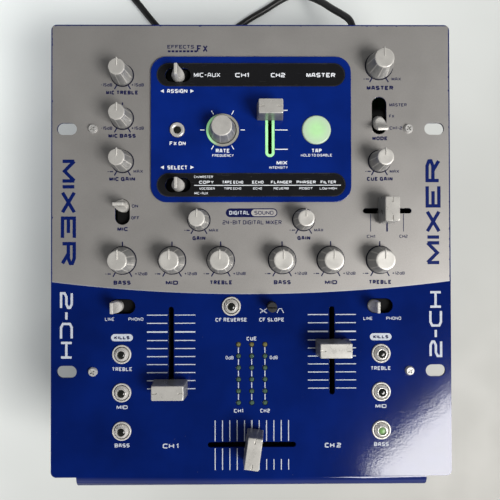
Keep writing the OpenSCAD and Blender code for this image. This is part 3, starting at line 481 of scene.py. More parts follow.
def two_tone_paint(look):
    """Silver above the curved line y = -28 + 0.496 x2 (metres) and navy below and on the folds.

    A thin pale line runs along the curve, and the silver print ends short of the plate's edges.
    """
    f = finish("two_tone_paint")
    curve = f.y - (f.x * f.x * 0.496 - 0.028)
    wide, end_x, end_y, soft = abs(f.x), 0.12625, 0.14285, 0.0001
    nick = f.cloud(420.0, low=0.6, high=0.8) * 0.0005
    inside = (f.ramp(wide + nick, end_x + soft, end_x - soft)
              * f.ramp(f.y + nick, end_y + soft, end_y - soft))
    top = f.ramp(f.z, (PLATE_Z - 0.12) * MM, (PLATE_Z - 0.04) * MM)
    silvery = f.ramp(curve, -0.00012, 0.00012) * inside * top
    cloud = f.cloud(16.0, 3.0, 0.6)
    d, m, l = shades(look.silver, 0.88, 1.0, 1.1)
    silver = f.blend(f.cloud(2600.0, 1.0), f.blend(cloud, d, m), f.blend(cloud, m, l))
    navy = f.mottle(f.cloud(22.0, 3.0, 0.6), look.navy, 0.8, 1.25)
    line = f.ramp(abs(curve - 0.0001), 0.00032, 0.00022) * (inside * top)
    colour = f.blend(line * 0.55, f.blend(silvery, navy, silver), (0.50, 0.52, 0.56))
    # near-black patches along the plate's left and right edges
    dark_edge_patches = f.cloud(700.0, 3.0, 0.7, 0.68, 0.74) * f.ramp(wide, 0.1262, 0.127)
    colour = f.blend(dark_edge_patches * 0.6, dusty(f, colour), (0.02, 0.02, 0.03))
    coat = f.ramp(f.z, (PLATE_Z - 3.0) * MM, (PLATE_Z - 0.3) * MM, 0.3, 1.0)
    return coated(f, colour, f.cloud(40.0, 4.0, 0.65, 0.3, 0.75, 0.44, 0.56), look.peel,
                  Metallic=silvery * 0.6, Coat_Weight=coat, Coat_Roughness=0.09,
                  Normal=f.bump(f.noise(2600.0, 1.0), 0.08))


def gloss_paint(name, tone, peel):
    """One glossy paint with clouding, dust and orange peel, fading to near-black between 0.4 and
    0.2 mm above the plate's top and staying so below: painted shade in the window pockets and at
    the raised panel's foot. Parts lower down in this paint, such as the case, come out near-black
    too.
    """
    f = finish(name)
    colour = dusty(f, f.mottle(f.cloud(24.0, 3.0, 0.6), tone, 0.82, 1.22), 0.4)
    # painted shade: near-black below the windows' level, in the window pockets and at the panel's
    # foot
    colour = f.blend(f.ramp(f.z, (WINDOW_Z - 0.4) * MM, (WINDOW_Z - 0.6) * MM), colour,
                     (0.006, 0.006, 0.007))
    return coated(f, colour, f.cloud(45.0, 4.0, 0.65, 0.3, 0.75, 0.3, 0.42), peel,
                  Coat_Weight=1.0, Coat_Roughness=0.14)


def window_acrylic():
    """Glossy black acrylic with faint smudges and hairline scratches."""
    f = finish("window_acrylic")
    hair = f.cloud(90.0, 2.0, 0.6, 0.66, 0.72, stretch=(1.0, 9.0, 1.0))
    colour = f.blend(hair * 0.25, (0.010, 0.010, 0.011), (0.05, 0.05, 0.055))
    return f.shade(dusty(f, colour), f.cloud(30.0, 4.0, 0.7, 0.35, 0.75, 0.12, 0.3))


def silver_plastic(name, tone, metal=0.5, rough=0.4):
    """Metallic moulded plastic: fine flake, random darker mottling and tiny scratches, with
    painted shade on the sides of knobs and fader caps taken from the mesh's own values.
    """
    f = finish(name)
    d, m, l = shades(tone, 0.86, 1.0, 1.08)
    # random darker mottling of the plastic, which also mottles the painted shade below
    grime_and_painted_shade = f.cloud(210.0, 4.0, 0.65, 0.35)
    colour = f.blend(f.cloud(3200.0, 1.0), f.blend(grime_and_painted_shade, d, m), l)
    scratch = f.cloud(900.0, 2.0, 0.6, 0.66, 0.74, stretch=(1.0, 0.2, 1.0))
    colour = f.blend(scratch * 0.12, colour, (0.25, 0.24, 0.23))
    # painted shade: the mesh's own values darken the sides of knobs and caps to a slate grey
    colour = f.blend(f.grime_and_painted_shade() * 0.8, colour,
                     f.blend(grime_and_painted_shade, (0.10, 0.105, 0.115), (0.19, 0.195, 0.20)))
    return f.shade(colour, f.cloud(160.0, 3.0, to_low=rough - 0.06, to_high=rough + 0.1),
                   Metallic=metal, Normal=f.bump(f.noise(1500.0), 0.12))


def moulded(name, tone, rough=0.5, grain=900.0, depth=0.25, sheen=0.5):
    """Moulded plastic or rubber with spark-eroded grain."""
    f = finish(name)
    return f.shade(f.mottle(f.cloud(60.0, 4.0, 0.6, 0.3, 0.75), tone, 0.75, 1.5),
                   f.cloud(120.0, 3.0, to_low=rough - 0.08, to_high=rough + 0.1),
                   Specular_IOR_Level=sheen,
                   Normal=f.bump(f.noise(grain, 3.0, 0.6), depth))


def bare_metal(name, tone, rough=0.3, metal=1.0):
    """Plated or bare metal with fine brushing and dull patches."""
    f = finish(name)
    fine = f.noise(1400.0, 2.0, 0.6, (1.0, 1.0, 0.15))
    return f.shade(f.mottle(f.cloud(130.0, 4.0, 0.6), tone, 0.72, 1.06),
                   f.ramp(fine, 0.3, 0.7, rough - 0.08, rough + 0.12), Metallic=metal,
                   Normal=f.bump(fine, 0.1))


def light_guide(tone, glow):
    """The lit ring, green to the left of the rate knob and dull to its right, and the lit strip
    of the mix fader."""
    f = finish("light_guide")
    lit = f.math("MAXIMUM", f.ramp(f.x, -0.0205, -0.0265), f.ramp(f.x, 0.0, 0.002))
    colour = f.blend(lit, (0.30, 0.29, 0.25), f.mottle(f.cloud(150.0, 3.0), tone, 0.8, 1.1))
    return f.shade(colour, 0.35, Emission_Color=colour, Emission_Strength=lit * glow)


def lit_plastic(name, tone, glow, centre, reach):
    """Translucent plastic lit from behind: brightest over the lamp at centre, duller at reach."""
    f = finish(name)
    dx, dy = f.x - centre[0] * MM, f.y - centre[1] * MM
    colour = f.blend(f.ramp(f.math("SQRT", dx * dx + dy * dy), reach * 0.3 * MM, reach * MM),
                     f.mottle(f.cloud(150.0, 3.0), tone, 0.9, 1.06),
                     tuple(np.mean(tone) * 0.55 + np.array(tone) * 0.4))
    return f.shade(colour, f.cloud(400.0, to_low=0.28, to_high=0.42), Emission_Color=colour,
                   Emission_Strength=glow)


def ink(name, tone):
    """Screen-print ink: slightly uneven cover and sheen."""
    f = finish(name)
    return f.shade(f.mottle(f.cloud(900.0, 3.0, 0.6), tone, 0.86, 1.08),
                   f.cloud(300.0, to_low=0.38, to_high=0.5), Specular_IOR_Level=0.12)


def lamp_plastic():
    """Unlit coloured lamps: amber in the top row, green below it."""
    f = finish("lamp_plastic")
    core = f.cloud(500.0, to_high=0.5)
    green = f.blend(core, (0.04, 0.08, 0.05), (0.09, 0.16, 0.11))
    amber = f.blend(core, (0.10, 0.09, 0.03), (0.22, 0.20, 0.07))
    return f.shade(f.blend(f.ramp(f.y, -0.0642, -0.0640), green, amber), 0.22,
                   Coat_Weight=0.6, Coat_Roughness=0.08)


def circuit_board():
    """Green solder mask with copper traces showing through and pale pads."""
    f = finish("circuit_board")
    traces = f.cloud(330.0, 0.0, 0.5, 0.5, 0.53, stretch=(1.0, 0.12, 1.0))
    colour = f.blend(traces, (0.008, 0.07, 0.022), (0.02, 0.13, 0.045))
    pads = f.ramp(f.cells(210.0), 0.16, 0.12)
    return f.shade(f.blend(pads * 0.7, colour, (0.55, 0.55, 0.5)), 0.3, Coat_Weight=0.4,
                   Coat_Roughness=0.15)


def iron_core():
    """Laminated iron with varnish, its sheets at equal steps along y."""
    f = finish("iron_core")
    sheets = f.math("SINE", f.y * 9000.0)
    colour = f.blend(f.ramp(sheets, -0.4, 0.6), (0.05, 0.045, 0.04), (0.13, 0.12, 0.11))
    return f.shade(colour, f.cloud(200.0, 3.0, to_low=0.35, to_high=0.6), Metallic=0.5,
                   Normal=f.bump(sheets, 0.3, 0.0002))


def floor_finish(tone):
    """Pale matt table top with faint clouding. Painted light tints it paler and cooler to the rear
    left and darker to the front right; to the rear left the camera also sees a faint glow in place
    of light from the room."""
    f = finish("floor_finish")
    across = f.x - f.y
    # painted light: a tint that brightens the rear left and darkens the front right
    colour = f.blend(1.0, f.mottle(f.cloud(3.2, 3.0, 0.55, 0.35, 0.68), tone, 0.9, 1.07),
                     f.blend(f.ramp(across, -0.35, 0.35), (1.27, 1.33, 1.35),
                             (0.60, 0.59, 0.57)), "MULTIPLY")
    glow = f.out("LightPath", "Is Camera Ray") * f.ramp(across, -0.36, 0.24, 0.25, 0.0)
    return f.shade(colour, f.cloud(25.0, 3.0, to_low=0.5, to_high=0.65),
                   Emission_Color=(0.96, 1.0, 1.02), Emission_Strength=glow)


# ---------- power lead

def evenly(points, step=2.0):
    """The same line with its points a step apart, by arc length."""
    s = np.concatenate([[0], np.cumsum(np.linalg.norm(np.diff(points, axis=0), axis=1))])
    want = np.linspace(0, s[-1], int(round(s[-1] / step)) + 1)
    return np.column_stack([np.interp(want, s, points[:, k]) for k in range(3)])


def smooth_path(points):
    """A Catmull-Rom curve through the points, sampled evenly: p = half of (2b + (c - a) t +
    (2a - 5b + 4c - d) t2 + (3b - a - 3c + d) t3) between b and c."""
    p = np.concatenate([[2 * points[0] - points[1]], points, [2 * points[-1] - points[-2]]])
    t = np.linspace(0, 1, 24, endpoint=False)[None, :, None]
    a, b, c, d = (p[k:len(p) - 3 + k][:, None, :] for k in range(4))
    q = 0.5 * (2 * b + (c - a) * t + (2 * a - 5 * b + 4 * c - d) * t**2
               + (3 * b - a - 3 * c + d) * t**3)
    return evenly(np.concatenate([q.reshape(-1, 3), points[-1:]]))


def lead_route():
    """From the strain relief along the floor, round the coil and out to the plug.

    The coil is r(u) = outer - u pitch on the floor for its first half of turns, and winds
    outwards again a cord's thickness higher for the second half.
    """
    inner = COIL_R - COIL_TURNS / 2 * CORD_D
    u = np.linspace(0, 1, 1200)[1:]
    t = math.atan2(*(LEAD[-1, :2] - COIL_AT)[::-1]) - u * COIL_TURNS * 2 * math.pi
    r = inner + np.abs(1 - 2 * u) * (COIL_R - inner)
    climb = np.clip((u - 0.5) * COIL_TURNS * 2 + 0.5, 0, 1)
    coil = polar(r, t, FLOOR_R + CORD_D * climb**2 * (3 - 2 * climb)) + (*COIL_AT, 0)
    tail = [(-58, PLUG_Y, 7.8)] + [(x, PLUG_Y, PLUG_Z) for x in (-48, -36, -34)]
    return evenly(np.concatenate([smooth_path(LEAD), coil,
                                  smooth_path(np.vstack([coil[-1:], tail]))[1:]]))


def tube(path, radius, sides=12):
    """A round tube: path + radius (cos t side + sin t up), side and up square to the path."""
    along = np.gradient(path, axis=0)
    along /= np.linalg.norm(along, axis=1)[:, None]
    side = np.cross(along, (0.0, 0.0, 1.0))
    side /= np.linalg.norm(side, axis=1)[:, None]
    up = np.cross(side, along)
    t = angles(sides)[:, None]
    return wall((path[:, None] + radius * (np.cos(t) * side[:, None]
                                           + np.sin(t) * up[:, None]))[:, ::-1])


def coil_tie(angle):
    """Strap round the coil's section: a flat frame between two rounded outlines, 9 mm long."""
    half = COIL_TURNS / 4 * CORD_D + FLOOR_R
    points, faces = frame_band(oblong(half + 1.0, CORD_D + 0.35, 3.0),
                               oblong(half + 0.1, CORD_D - 0.5, 2.4), -4.5, 4.5)
    r, z, w = (points + (COIL_R - COIL_TURNS / 4 * CORD_D, CORD_D + 0.37, 0)).T
    return moved((np.column_stack([r, -w, z]), faces), (*COIL_AT, 0), angle)


def plug_patches():
    """Moulded plug body: rounded sections swelling from the cord to the grip and back to the
    face, with three grip ribs; and its two flat blades."""
    # x, half width, half height
    x, w, h = np.array([
        (-36, 3.1, 3.1), (-34, 3.3, 3.2), (-30, 3.7, 3.4), (-24, 4.3, 3.8), (-18, 6.0, 5.0),
        (-16, 9.5, 6.6), (-13, 11.6, 7.5), (-11, 11.1, 7.2), (-9, 11.9, 7.9), (-7, 11.2, 7.3),
        (-5, 12, 8), (-3, 11.3, 7.4), (-1, 12, 8), (4, 12, 8), (7, 11.8, 7.8), (8, 11.2, 7.2)]).T
    body = wall(turned("x", stack([oblong(a, b, min(a, b) * 0.62) for a, b in zip(w, h)], x)))
    blade = wall(turned("x", stack([oblong(*o) for o in (
        (0.75, 3.15, 0.3), (0.75, 3.15, 0.3), (0.4, 2.4, 0.2))], (7.0, 23.6, 25.0))))
    return (moved(body, (0, PLUG_Y, PLUG_Z)),
            at_places(blade, [(0, PLUG_Y + s * 6.35, PLUG_Z) for s in (-1, 1)]))


# ---------- words and lines

# strokes of the letters, corner by corner as x y on a grid 4 wide and 6 high
LETTERS = {
    "A": "00163640 1232", "B": "03334445360600304142 4233", "C": "461605011040",
    "D": "00063645413000", "E": "46060040 0333", "F": "460600 0333", "G": "4616050110404323",
    "H": "0006 4640 0343", "I": "0006", "K": "0006 0313 461340", "L": "060040",
    "M": "0006 062146 4640", "N": "0006 0640 4640", "O": "103041453616050110",
    "P": "00063645443303", "Q": "103041453616050110 2240", "R": "00063645443303 2340",
    "S": "46160504133342413000", "T": "0646 2620", "U": "060110304146", "V": "06103046",
    "W": "06011021304146 2124", "X": "0046 0640", "Y": "062346 2320", "d": "46401001031434",
    "0": "103041453616050110", "1": "051610", "2": "063645443313020040", "4": "060242 3630",
    "5": "4606033342413000", "∞": "2314031223 2334433223", "+": "0343 2521", "-": "0323",
    "/": "0026"}
# what keeps the tops of crossing strokes out of one plane
HAIR = 0.003


def ribbon(path, half, z):
    """A flat stroke with mitred corners: its edges are p(i) -/+ half * (a + b) / (1 + a . b),
    with a and b the normals before and after corner i, and its top climbs a hair on the way."""
    shut = np.allclose(path[0], path[-1])
    step = np.diff(path, axis=0)
    normal = np.column_stack([-step[:, 1], step[:, 0]]) / np.hypot(*step.T)[:, None]
    before = normal[np.r_[-1 if shut else 0, 0:len(normal)]]
    after = normal[np.r_[0:len(normal), 0 if shut else -1]]
    side = half * (before + after) / np.maximum(1 + (before * after).sum(1), 0.45)[:, None]
    left, right = path - side, path + side
    low, high = np.full(len(path), z[0]), z[1] + HAIR * np.linspace(0, 1, len(path))
    rings = np.stack([np.column_stack(edge) for edge in (
        (left, low), (right, low), (right, high), (left, high))], 1)
    return wall(rings[:-1] if shut else rings, wrap=shut)


def word_patch(text, x, y, cap, width, z, weight=0.2, turn=0.0):
    """A word as ribbons: cap is its height, width its length and weight a stroke's thickness as
    a share of cap. Strokes that cross differ in height by a hair."""
    half, gap = cap * weight / 2, cap * 0.16
    wide = {c: max(map(int, LETTERS[c].replace(" ", "")[::2])) for c in set(text) - {" "}}
    count = len(text.replace(" ", ""))
    pitch = ((width - count * (2 * half + gap) + gap - text.count(" ") * 2 * gap)
             / sum(wide[c] for c in text if c != " "))
    at, patches = half - width / 2, []
    for letter in text:
        if letter == " ":
            at += 2 * gap
            continue
        for k, stroke in enumerate(LETTERS[letter].split()):
            grid = np.array([int(c) for c in stroke], float).reshape(-1, 2)
            path = grid * (pitch, (cap - 2 * half) / 6) + (at, half - cap / 2)
            patches.append(ribbon(path, half, (z[0], z[1] + 2 * k * HAIR)))
        at += wide[letter] * pitch + 2 * half + gap
    return moved(join(*patches), (x, y, 0), turn)


def words(table, z, weight):
    """All the words of one table as one patch."""
    return join(*[word_patch(*row, z, weight) for row in table])


def rows(text):
    """A table of words as (word, x, y, capitals' height, width). Each line of the text gives
    y and the height, then words with their x and width."""
    found = []
    for line in text.strip().splitlines():
        head, _, rest = line.partition(":")
        for entry in rest.split(";"):
            *word, x, width = entry.split()
            found.append((" ".join(word), float(x), *map(float, head.split()), float(width)))
    return found


SILVER_WORDS = rows("""
    100.2 2.5: MIC TREBLE -82 20.4
    72.6 2.5: MIC BASS -82 17.4
    45.1 2.5: MIC GAIN -82 16.4
    13.3 2.5: MIC -81.6 6.8
    7.4 2.5: GAIN -33.3 8.2; GAIN 33.4 8.2
    -20.7 2.6: BASS -82 10.8; TREBLE -19.3 14.2; BASS 19.6 10.8; TREBLE 81.9 14.4
    -20.8 2.6: MID -50.5 7.8; MID 50.6 7.8
    103.2 2.7: MASTER 82.4 17
    70.9 2.4: MODE 82.3 9.8
    45 2.5: CUE GAIN 82 16.4""")
SILVER_SMALL = rows("""
    128.3 4.4: FX -31 6.8
    129.5 2.3: EFFECTS -44.7 17
    27.9 2: ON -73.9 3.9
    20.4 2: OFF -73.6 5.1
    92.3 2: MASTER 93.9 11.2
    85.1 2: FX 89.8 3.2
    77.5 2: CH1-2 92.5 8; -15dB -91.9 7.2; +15dB -72.2 8
    8.3 2: CH1 76.2 5.2; CH2 97 5.2
    105.1 2: -15dB -91.9 7.2; +15dB -72.2 8
    49.8 1.9: -∞ -89.6 3.8; -∞ 74.4 3.8; MAX 91.4 6
    50 1.9: MAX -71.8 6
    12.4 1.9: -∞ -41 3.8; MAX -24 6; -∞ 26 3.8; MAX 43 6
    108.9 1.9: -∞ 73.6 3.8; MAX 92.9 6""")
SILVER_SMALL += [word for x in (-81.8, -50.4, -19.5, 19.5, 50.4, 81.8) for word in (
    ("-∞", x - 9.2, -15.2, 1.9, 3.8), ("+12dB", x + 11.8, -15.1, 1.9, 8.0))]
BLUE_WORDS = rows("""
    -75.4 2.4: TREBLE -82 12.8; TREBLE 82 12.8
    -99.4 2.4: MID -82 7; MID 82 7
    -123.5 2.4: BASS -82 9.4; BASS 82.2 9.4
    -44.4 2.4: CF REVERSE -12.9 20; CF SLOPE 12.8 15.8
    -102 2.4: CH1 -8.4 5.9; CH2 8.4 6.1
    -56.4 2.4: CUE 0 6.4
    -124 3: CH 1 -51.4 9.9; CH 2 51.4 10.3""")
BLUE_SMALL = rows("""
    -43.8 2: LINE -89.9 5.8; PHONO -73.3 9.4; LINE 74 5.8; PHONO 90.4 9.4
    -68.4 2.2: 0dB -14 5; 0dB 14 5""")
PANEL_WORDS = rows("""
    100.8 2.4: ASSIGN -46.9 13
    52.2 2.4: SELECT -46.8 12.6
    67.5 2.4: FX ON -46.6 10.2
    62.8 2.5: RATE -18 8.8; TAP 41.6 6.4
    55.1 2.5: MIX 19.5 6.8""")
PANEL_SMALL = rows("""
    59.8 1.6: FREQUENCY -17.9 13.6
    59.9 1.6: HOLD TO DISABLE 41.5 19.8
    52.1 1.6: INTENSITY 17.3 11.8""")
WINDOW_WORDS = rows("""
    111.1 2.8: CH1 -5.7 8.7; CH2 17.2 9.1; MASTER 44.5 18.4
    42.9 1.8: COPY -28.4 9.4; TAPE ECHO -11.8 13.4; ECHO 4.2 7.2; FLANGER 19.1 13.2
    42.9 1.8: PHASER 34.9 12.2; FILTER 49 9.8""")
WINDOW_SMALL = rows("""
    111.2 2.7: MIC-AUX -27.9 16.8
    46.3 1.5: CH/MASTER -30.3 12
    38.9 1.4: VOCODER -28 9.8; TAPE ECHO -11.8 10.8; ECHO 4 5.6; REVERB 19 9.6; ROBOT 34.8 8.6
    38.9 1.4: LOW-HIGH 49 11
    35.9 1.5: MIC-AUX -31.7 8.6""")
# x as seen from behind
REAR_WORDS = rows("""
    62.5 2.3: PHONO 2 94 13; LINE 2 77 10.4; PHONO 1 60 13; LINE 1 43 10.4; AUX 26 6.4
    62.5 2.3: REC OUT 9 12.4; MASTER OUT -8.5 15.4
    58.2 2.3: GND -26 6.6
    57 2.3: POWER -46 11.4
    52 2.3: L 102.6 1.4
    34 2.3: R 102.6 1.5""")
FRONT_WORDS = rows("""
    49 2.5: MIC -78 6.4; PHONES 78 13.4""")


def spoke(centre, angle, r0, r1, width, z):
    """A bar pointing away from a centre, r0 to r1."""
    ends = polar(np.array([r0, r1]), math.radians(angle), 0.0)[:, :2] + centre
    return bar(*ends, width, z)


def knob_marks(name, z):
    """The ring round a knob's foot, and its ticks; the ring is printed near-black as painted
    shadow of the gap under the knob.
    """
    x, y, (skirt, _, _) = KNOBS[name]
    a, b = skirt - 0.075, skirt + 0.575
    ring = lathe([(a, z[0]), (b, z[0]), (b, z[1]), (a, z[1])], (x, y, 0), 64, wrap=True)
    middle = name.startswith(("ch1", "ch2")) and "gain" not in name or name == "mic_bass_knob"
    return ring, join(*[spoke((x, y), angle, skirt + 0.6, skirt + 3.4, 0.75, z)
                        for angle in [240, 300] + [90] * middle])


def printed_lines(z, thin):
    """Scale lines on the blue paint: fader scales, crossfader marks and lamp columns."""
    lines = []
    for slot_x in (-51.0, 51.0):
        for k, y in enumerate((-41.3, -46.5, -52.0, -57.4, -62.5, -67.6, -72.6, -77.7, -82.8,
                               -87.9)):
            lines += [((slot_x + s * 2.3, y), (slot_x + s * 15.3, y), 1.8 if k == 2 else 1.1)
                      for s in (-1, 1)]
    for k in range(-5, 6):
        x, wide = k * 4.65, 1.1 if k else 1.8
        lines += [((x, -108.0), (x, -121.2), wide),
                  ((x, -132.6 if k > 1 else -125.6), (x, -139.3), wide)]
    for x in LAMP_COLUMNS:
        lines += [((x, y + 1.9), (x, y + 5.5), 1.2)
                  for y in (-78.5 + (i - 2.5) * LAMP_PITCH for i in range(5))]
    for path in (((5.3, -40.2), (9.6, -37.4)), ((5.3, -37.4), (9.6, -40.2)),
                 ((16.2, -40.2), (17.4, -37.5), (19.0, -37.5), (20.4, -40.2))):
        lines += [(a, b, 1.0) for a, b in zip(path, path[1:])]
    return [bar(a, b, thin * wide, z) for a, b, wide in lines]


# ---------- controls

def knob_patch(shape, flutes, depth, pointer):
    """A knob: r(t, h) = cone(h) - depth * (1 - ridge(t)) * fade(h), where ridge(t) is a row of
    narrow bumps exp(-(s / 0.3)2) at arc lengths s; its top is slightly dished, and a rounded
    pointer rib runs from near its middle to past its rim."""
    skirt, top, h = shape
    steps = flutes * 18
    t = angles(steps)
    cone = [(skirt + (top + 0.35 - skirt) * k, 2.5 + (h - 3.6) * k, 1, 0.9)
            for k in (0.12, 0.5, 1)]
    # radius, height, how much of the grip shows, painted shade (dark on the sides, light at the
    # rim and top)
    profile = np.array([
        (4.4, 2.6, 0, 1.2), (4.4, 0.65, 0, 1.2), (skirt - 0.25, 0.6, 0, 1.2),
        (skirt, 0.75, 0, 1.2), (skirt, 1.5, 0, 1.2), (skirt - 0.08, 2.0, 0.1, 0.9), *cone,
        (top + 0.22, h - 0.8, 1, 0.6), (top + 0.08, h - 0.35, 0.7, 0.2),
        (top - 0.12, h - 0.1, 0.2, 0), (top - 0.4, h, 0, 0), (top - 1.1, h, 0, 0.08),
        (top * 0.5, h - 0.05, 0, 0.1), (0.4, h - 0.08, 0, 0.1)])
    r, z, grip, held = profile.T[:, :, None]
    along = (t / (2 * math.pi) * flutes % 1 - 0.5) * (2 * math.pi / flutes) * (skirt + top) / 2
    ridge = np.exp(-(along / 0.3) ** 2)
    r = r - depth * grip * (1 - ridge)
    points, faces = wall(polar(r, t, z))
    # painted shade on the sides, lifted off the ridges so they read as painted highlights
    grime_and_painted_shade = (held * (1 - 0.85 * ridge * grip)).ravel()
    if not pointer:
        return points, faces, grime_and_painted_shade
    # y, height and half width of the rib
    y, high, half = np.array([
        (0.6, h, 0.3), (0.75, h + 0.35, 0.45), (1.6, h + 0.5, 0.52), (top * 0.6, h + 0.5, 0.52),
        (top - 0.2, h + 0.5, 0.52), (top + 0.45, h + 0.4, 0.5), (top + 0.72, h + 0.1, 0.45),
        (top + 0.8, h - 1.2, 0.4)]).T[:, :, None]
    s = np.linspace(0, math.pi, 7)
    low = h - 1.4
    rise = low + np.sin(s) ** 0.6 * (high - low)
    rise[:, [0, -1]] = low
    rib = wall(np.stack([np.cos(s) * half, y + 0 * rise, rise], -1))
    return *join((points, faces), rib), np.append(grime_and_painted_shade, np.zeros(len(rib[0])))


def fader_patches(x, y, size, turn):
    """A cap (sloping sides, rounded corners, flat top with a notch at each end) as rings of one
    rounded rectangle, and the flat steel stem with its runner below it."""
    half_l, half_w, h = size / 2, 4.4, 16.4
    # four extra points at each short end carry the notch, from its lips to its bottom
    lips = np.array([-0.45, -0.28, 0.28, 0.45])
    rings = []
    # added half length, added half width, height, corner radius
    for a, b, z, r in ((0.9, 0.7, 2.0, 0.5), (0.9, 0.7, 2.25, 0.8), (0.86, 0.66, 4.0, 0.8),
                       (0.55, 0.42, 8.5, 0.75), (0.28, 0.2, 13.0, 0.7), (0.1, 0.06, 15.5, 0.7),
                       (0.0, 0.0, 15.9, 0.7), (-0.12, -0.12, 16.2, 0.7), (-0.4, -0.4, h, 0.6)):
        out = oblong(half_l + a, half_w + b, r, 5)
        ends = np.column_stack([np.repeat((out[0, 0], -out[0, 0]), 4),
                                np.append(lips, lips[::-1])])
        out = np.insert(out, (0,) * 4 + (10,) * 4, ends, axis=0)
        rings.append(np.column_stack([out, np.full(len(out), z)]))
    p, q, _ = rings[-1].T
    notch, end = np.isclose(np.abs(q), 0.28), np.abs(q) < 0.5
    rings[-1][notch, 2] -= 0.4
    rings[-2][notch, 2] -= 0.25
    for shrink, deep in ((0.6, 0.5), (3.0, 0.5), (3.2, 0.0), (5.5, 0.0)):
        f = 1 - shrink / half_l
        rings.append(np.column_stack([p * f, q * np.where(end, 1, f**0.25), h - deep * notch]))
    # painted shade: the sloping sides dark, the top and its notches light
    grime_and_painted_shade = np.repeat([1.0] * 5 + [0.9] + [0.0] * 7, len(p))
    stem = join(block(-0.65, 0.65, -1.5, 1.5, FOOT_Z + 0.7, PLATE_Z + 2.4, 0.2),
                block(-1.3, 1.3, -3, 3, FOOT_Z, FOOT_Z + 4, 0.3))
    return (moved((*wall(rings), grime_and_painted_shade), (x, y, PLATE_Z), turn),
            moved(stem, (x, y, 0), round(turn / 90) * 90))


def lever_head(z0):
    """A round foot cut by two hollow slopes to an upright blade: x = clip(r cos t, -+half(z)),
    y = r sin t, with half(z) falling from the foot's radius to the blade's."""
    z, half, r = np.array([
        (z0, 4.0, 4.0), (0.8, 4.0, 4.0), (1.6, 3.4, 3.97), (2.6, 2.75, 3.93), (3.6, 2.25, 3.88),
        (4.8, 1.8, 3.82), (6.2, 1.45, 3.75), (8.0, 1.2, 3.66), (10.0, 1.08, 3.57),
        (11.6, 1.0, 3.5), (12.1, 0.85, 3.3), (12.4, 0.5, 3.0)]).T[:, :, None]
    rings = polar(r, angles(64), z)
    rings[..., 0] = np.clip(rings[..., 0], -half, half)
    return wall(rings)


def swing_shield(pivot, slot):
    """Curved dust shield, (radius, angle) on an arc about the pivot, its neck, boss and pin."""
    r = pivot - SHEET - SHIELD_GAP
    # as far as the slot's ends and the lever's swing beyond them
    spread = math.radians(min(88, math.degrees(math.atan(slot / 2 / (pivot - SHEET)))
                              + (34 if pivot < 10 else 13)))
    t = np.linspace(-spread, spread, 33)
    rings = np.stack([polar(q, t, w) for q, w in (
        (r - 1, -4.2), (r, -4.2), (r, 4.2), (r - 1, 4.2))], 1)
    return join(wall(turned("y", rings)), lathe([(1.8, 0), (1.8, r - 0.3)], steps=20),
                lathe([(2.6, -4.3), (2.6, 4.3)], steps=24, axis="y"),
                lathe([(1.2, -5.9), (1.2, 5.9)], steps=20, axis="y")), r


def lever_patches(name):
    """The silver head and the black shield of one lever, placed in its slot."""
    x, y, along_x, slot, pivot, rest = LEVERS[name]
    if pivot:
        shield, r = swing_shield(pivot, slot)
        c, s = math.cos(math.radians(rest)), math.sin(math.radians(rest))
        made = [(p @ np.array([[c, 0, -s], [0, 1, 0], [s, 0, c]]) + (0, 0, PLATE_Z - pivot), f)
                for p, f in (moved(lever_head(r - pivot - 0.5), (0, 0, pivot)), shield)]
    else:
        top = UNDER - 1.2 - SHIELD_GAP
        half = (slot + 7.8) / 2
        shield = join(block(-half, half, -4.2, 4.2, top - 1, top, 0.5),
                      block(-2, 2, -0.9, 0.9, FOOT_Z + 0.7, top - 0.5, 0.3),
                      block(-4, 4, -1.3, 1.3, FOOT_Z, FOOT_Z + 4, 0.3))
        made = [moved(lever_head(top - PLATE_Z - 0.5), (rest, 0, PLATE_Z)),
                moved(shield, (rest, 0, 0))]
    return [moved(patch, (x, y, 0), 0 if along_x else 90) for patch in made]


# radius and height above the plate: a dome rising to a rounded rim, hollow for its lens
KILL_CAP = [(0, -2.9), (5.5, -2.9), (5.5, -1.8), (4.55, -1.75), (4.55, 0), (4.45, 0.7),
            (4.2, 1.35), (3.8, 1.95), (3.3, 2.45), (3.2, 2.6), (3.14, 2.78), (3.05, 2.93),
            (2.86, 3.0), (2.65, 2.95), (2.52, 2.75), (2.48, 1.9), (0, 1.9)]
KILL_LENS = [(0, 1.4), (2.42, 1.4), (2.42, 2.1), (1.9, 2.45), (1.1, 2.65), (0.3, 2.7)]
FX_CAP = [(0, -3.1), (5.5, -3.1), (5.5, -1.8), (4.6, -1.8), (4.6, 2.0), (4.45, 2.45),
          (4.1, 2.7), (3.2, 2.65), (2.7, 2.35), (2.35, 1.5), (0, 1.3)]
FX_LENS = [(0, 1.2), (2.3, 1.2), (2.3, 1.6), (1.5, 1.85), (0.3, 1.95)]
TAP_CAP = [(0, -3.1), (10, -3.1), (10, -1.8), (9.1, -1.8), (9.1, 1.5), (8.95, 1.9),
           (8.6, 2.14), (8.1, 2.2), (4.0, 2.16), (0.5, 2.15)]
BEZEL = [(4.95, -0.02), (6.0, -0.02), (6.0, 0.5), (5.88, 0.82), (5.6, 1.02), (5.3, 1.02),
         (5.06, 0.85), (4.95, 0.55)]


def button(name, x, y, profile, steps, material, slot="silver_plastic"):
    """A push button's cap on its round stem, down into its switch."""
    centre = (x, y, PLATE_Z)
    stem = rod(1.6, STEM_Z - PLATE_Z, profile[0][1], centre, 20)
    control(name, "_cap", join(lathe(profile, centre, steps), stem), material, slot)


def lens(name, x, y, profile, material, slot="black_plastic"):
    """The domed lens in a push button."""
    control(name, "_lens", lathe(profile, (x, y, PLATE_Z), 32), material, slot)


# ---------- operators

class Maker(bpy.types.Operator):
    """Shared settings of the mixer's operators."""
    bl_options = {"REGISTER", "UNDO"}


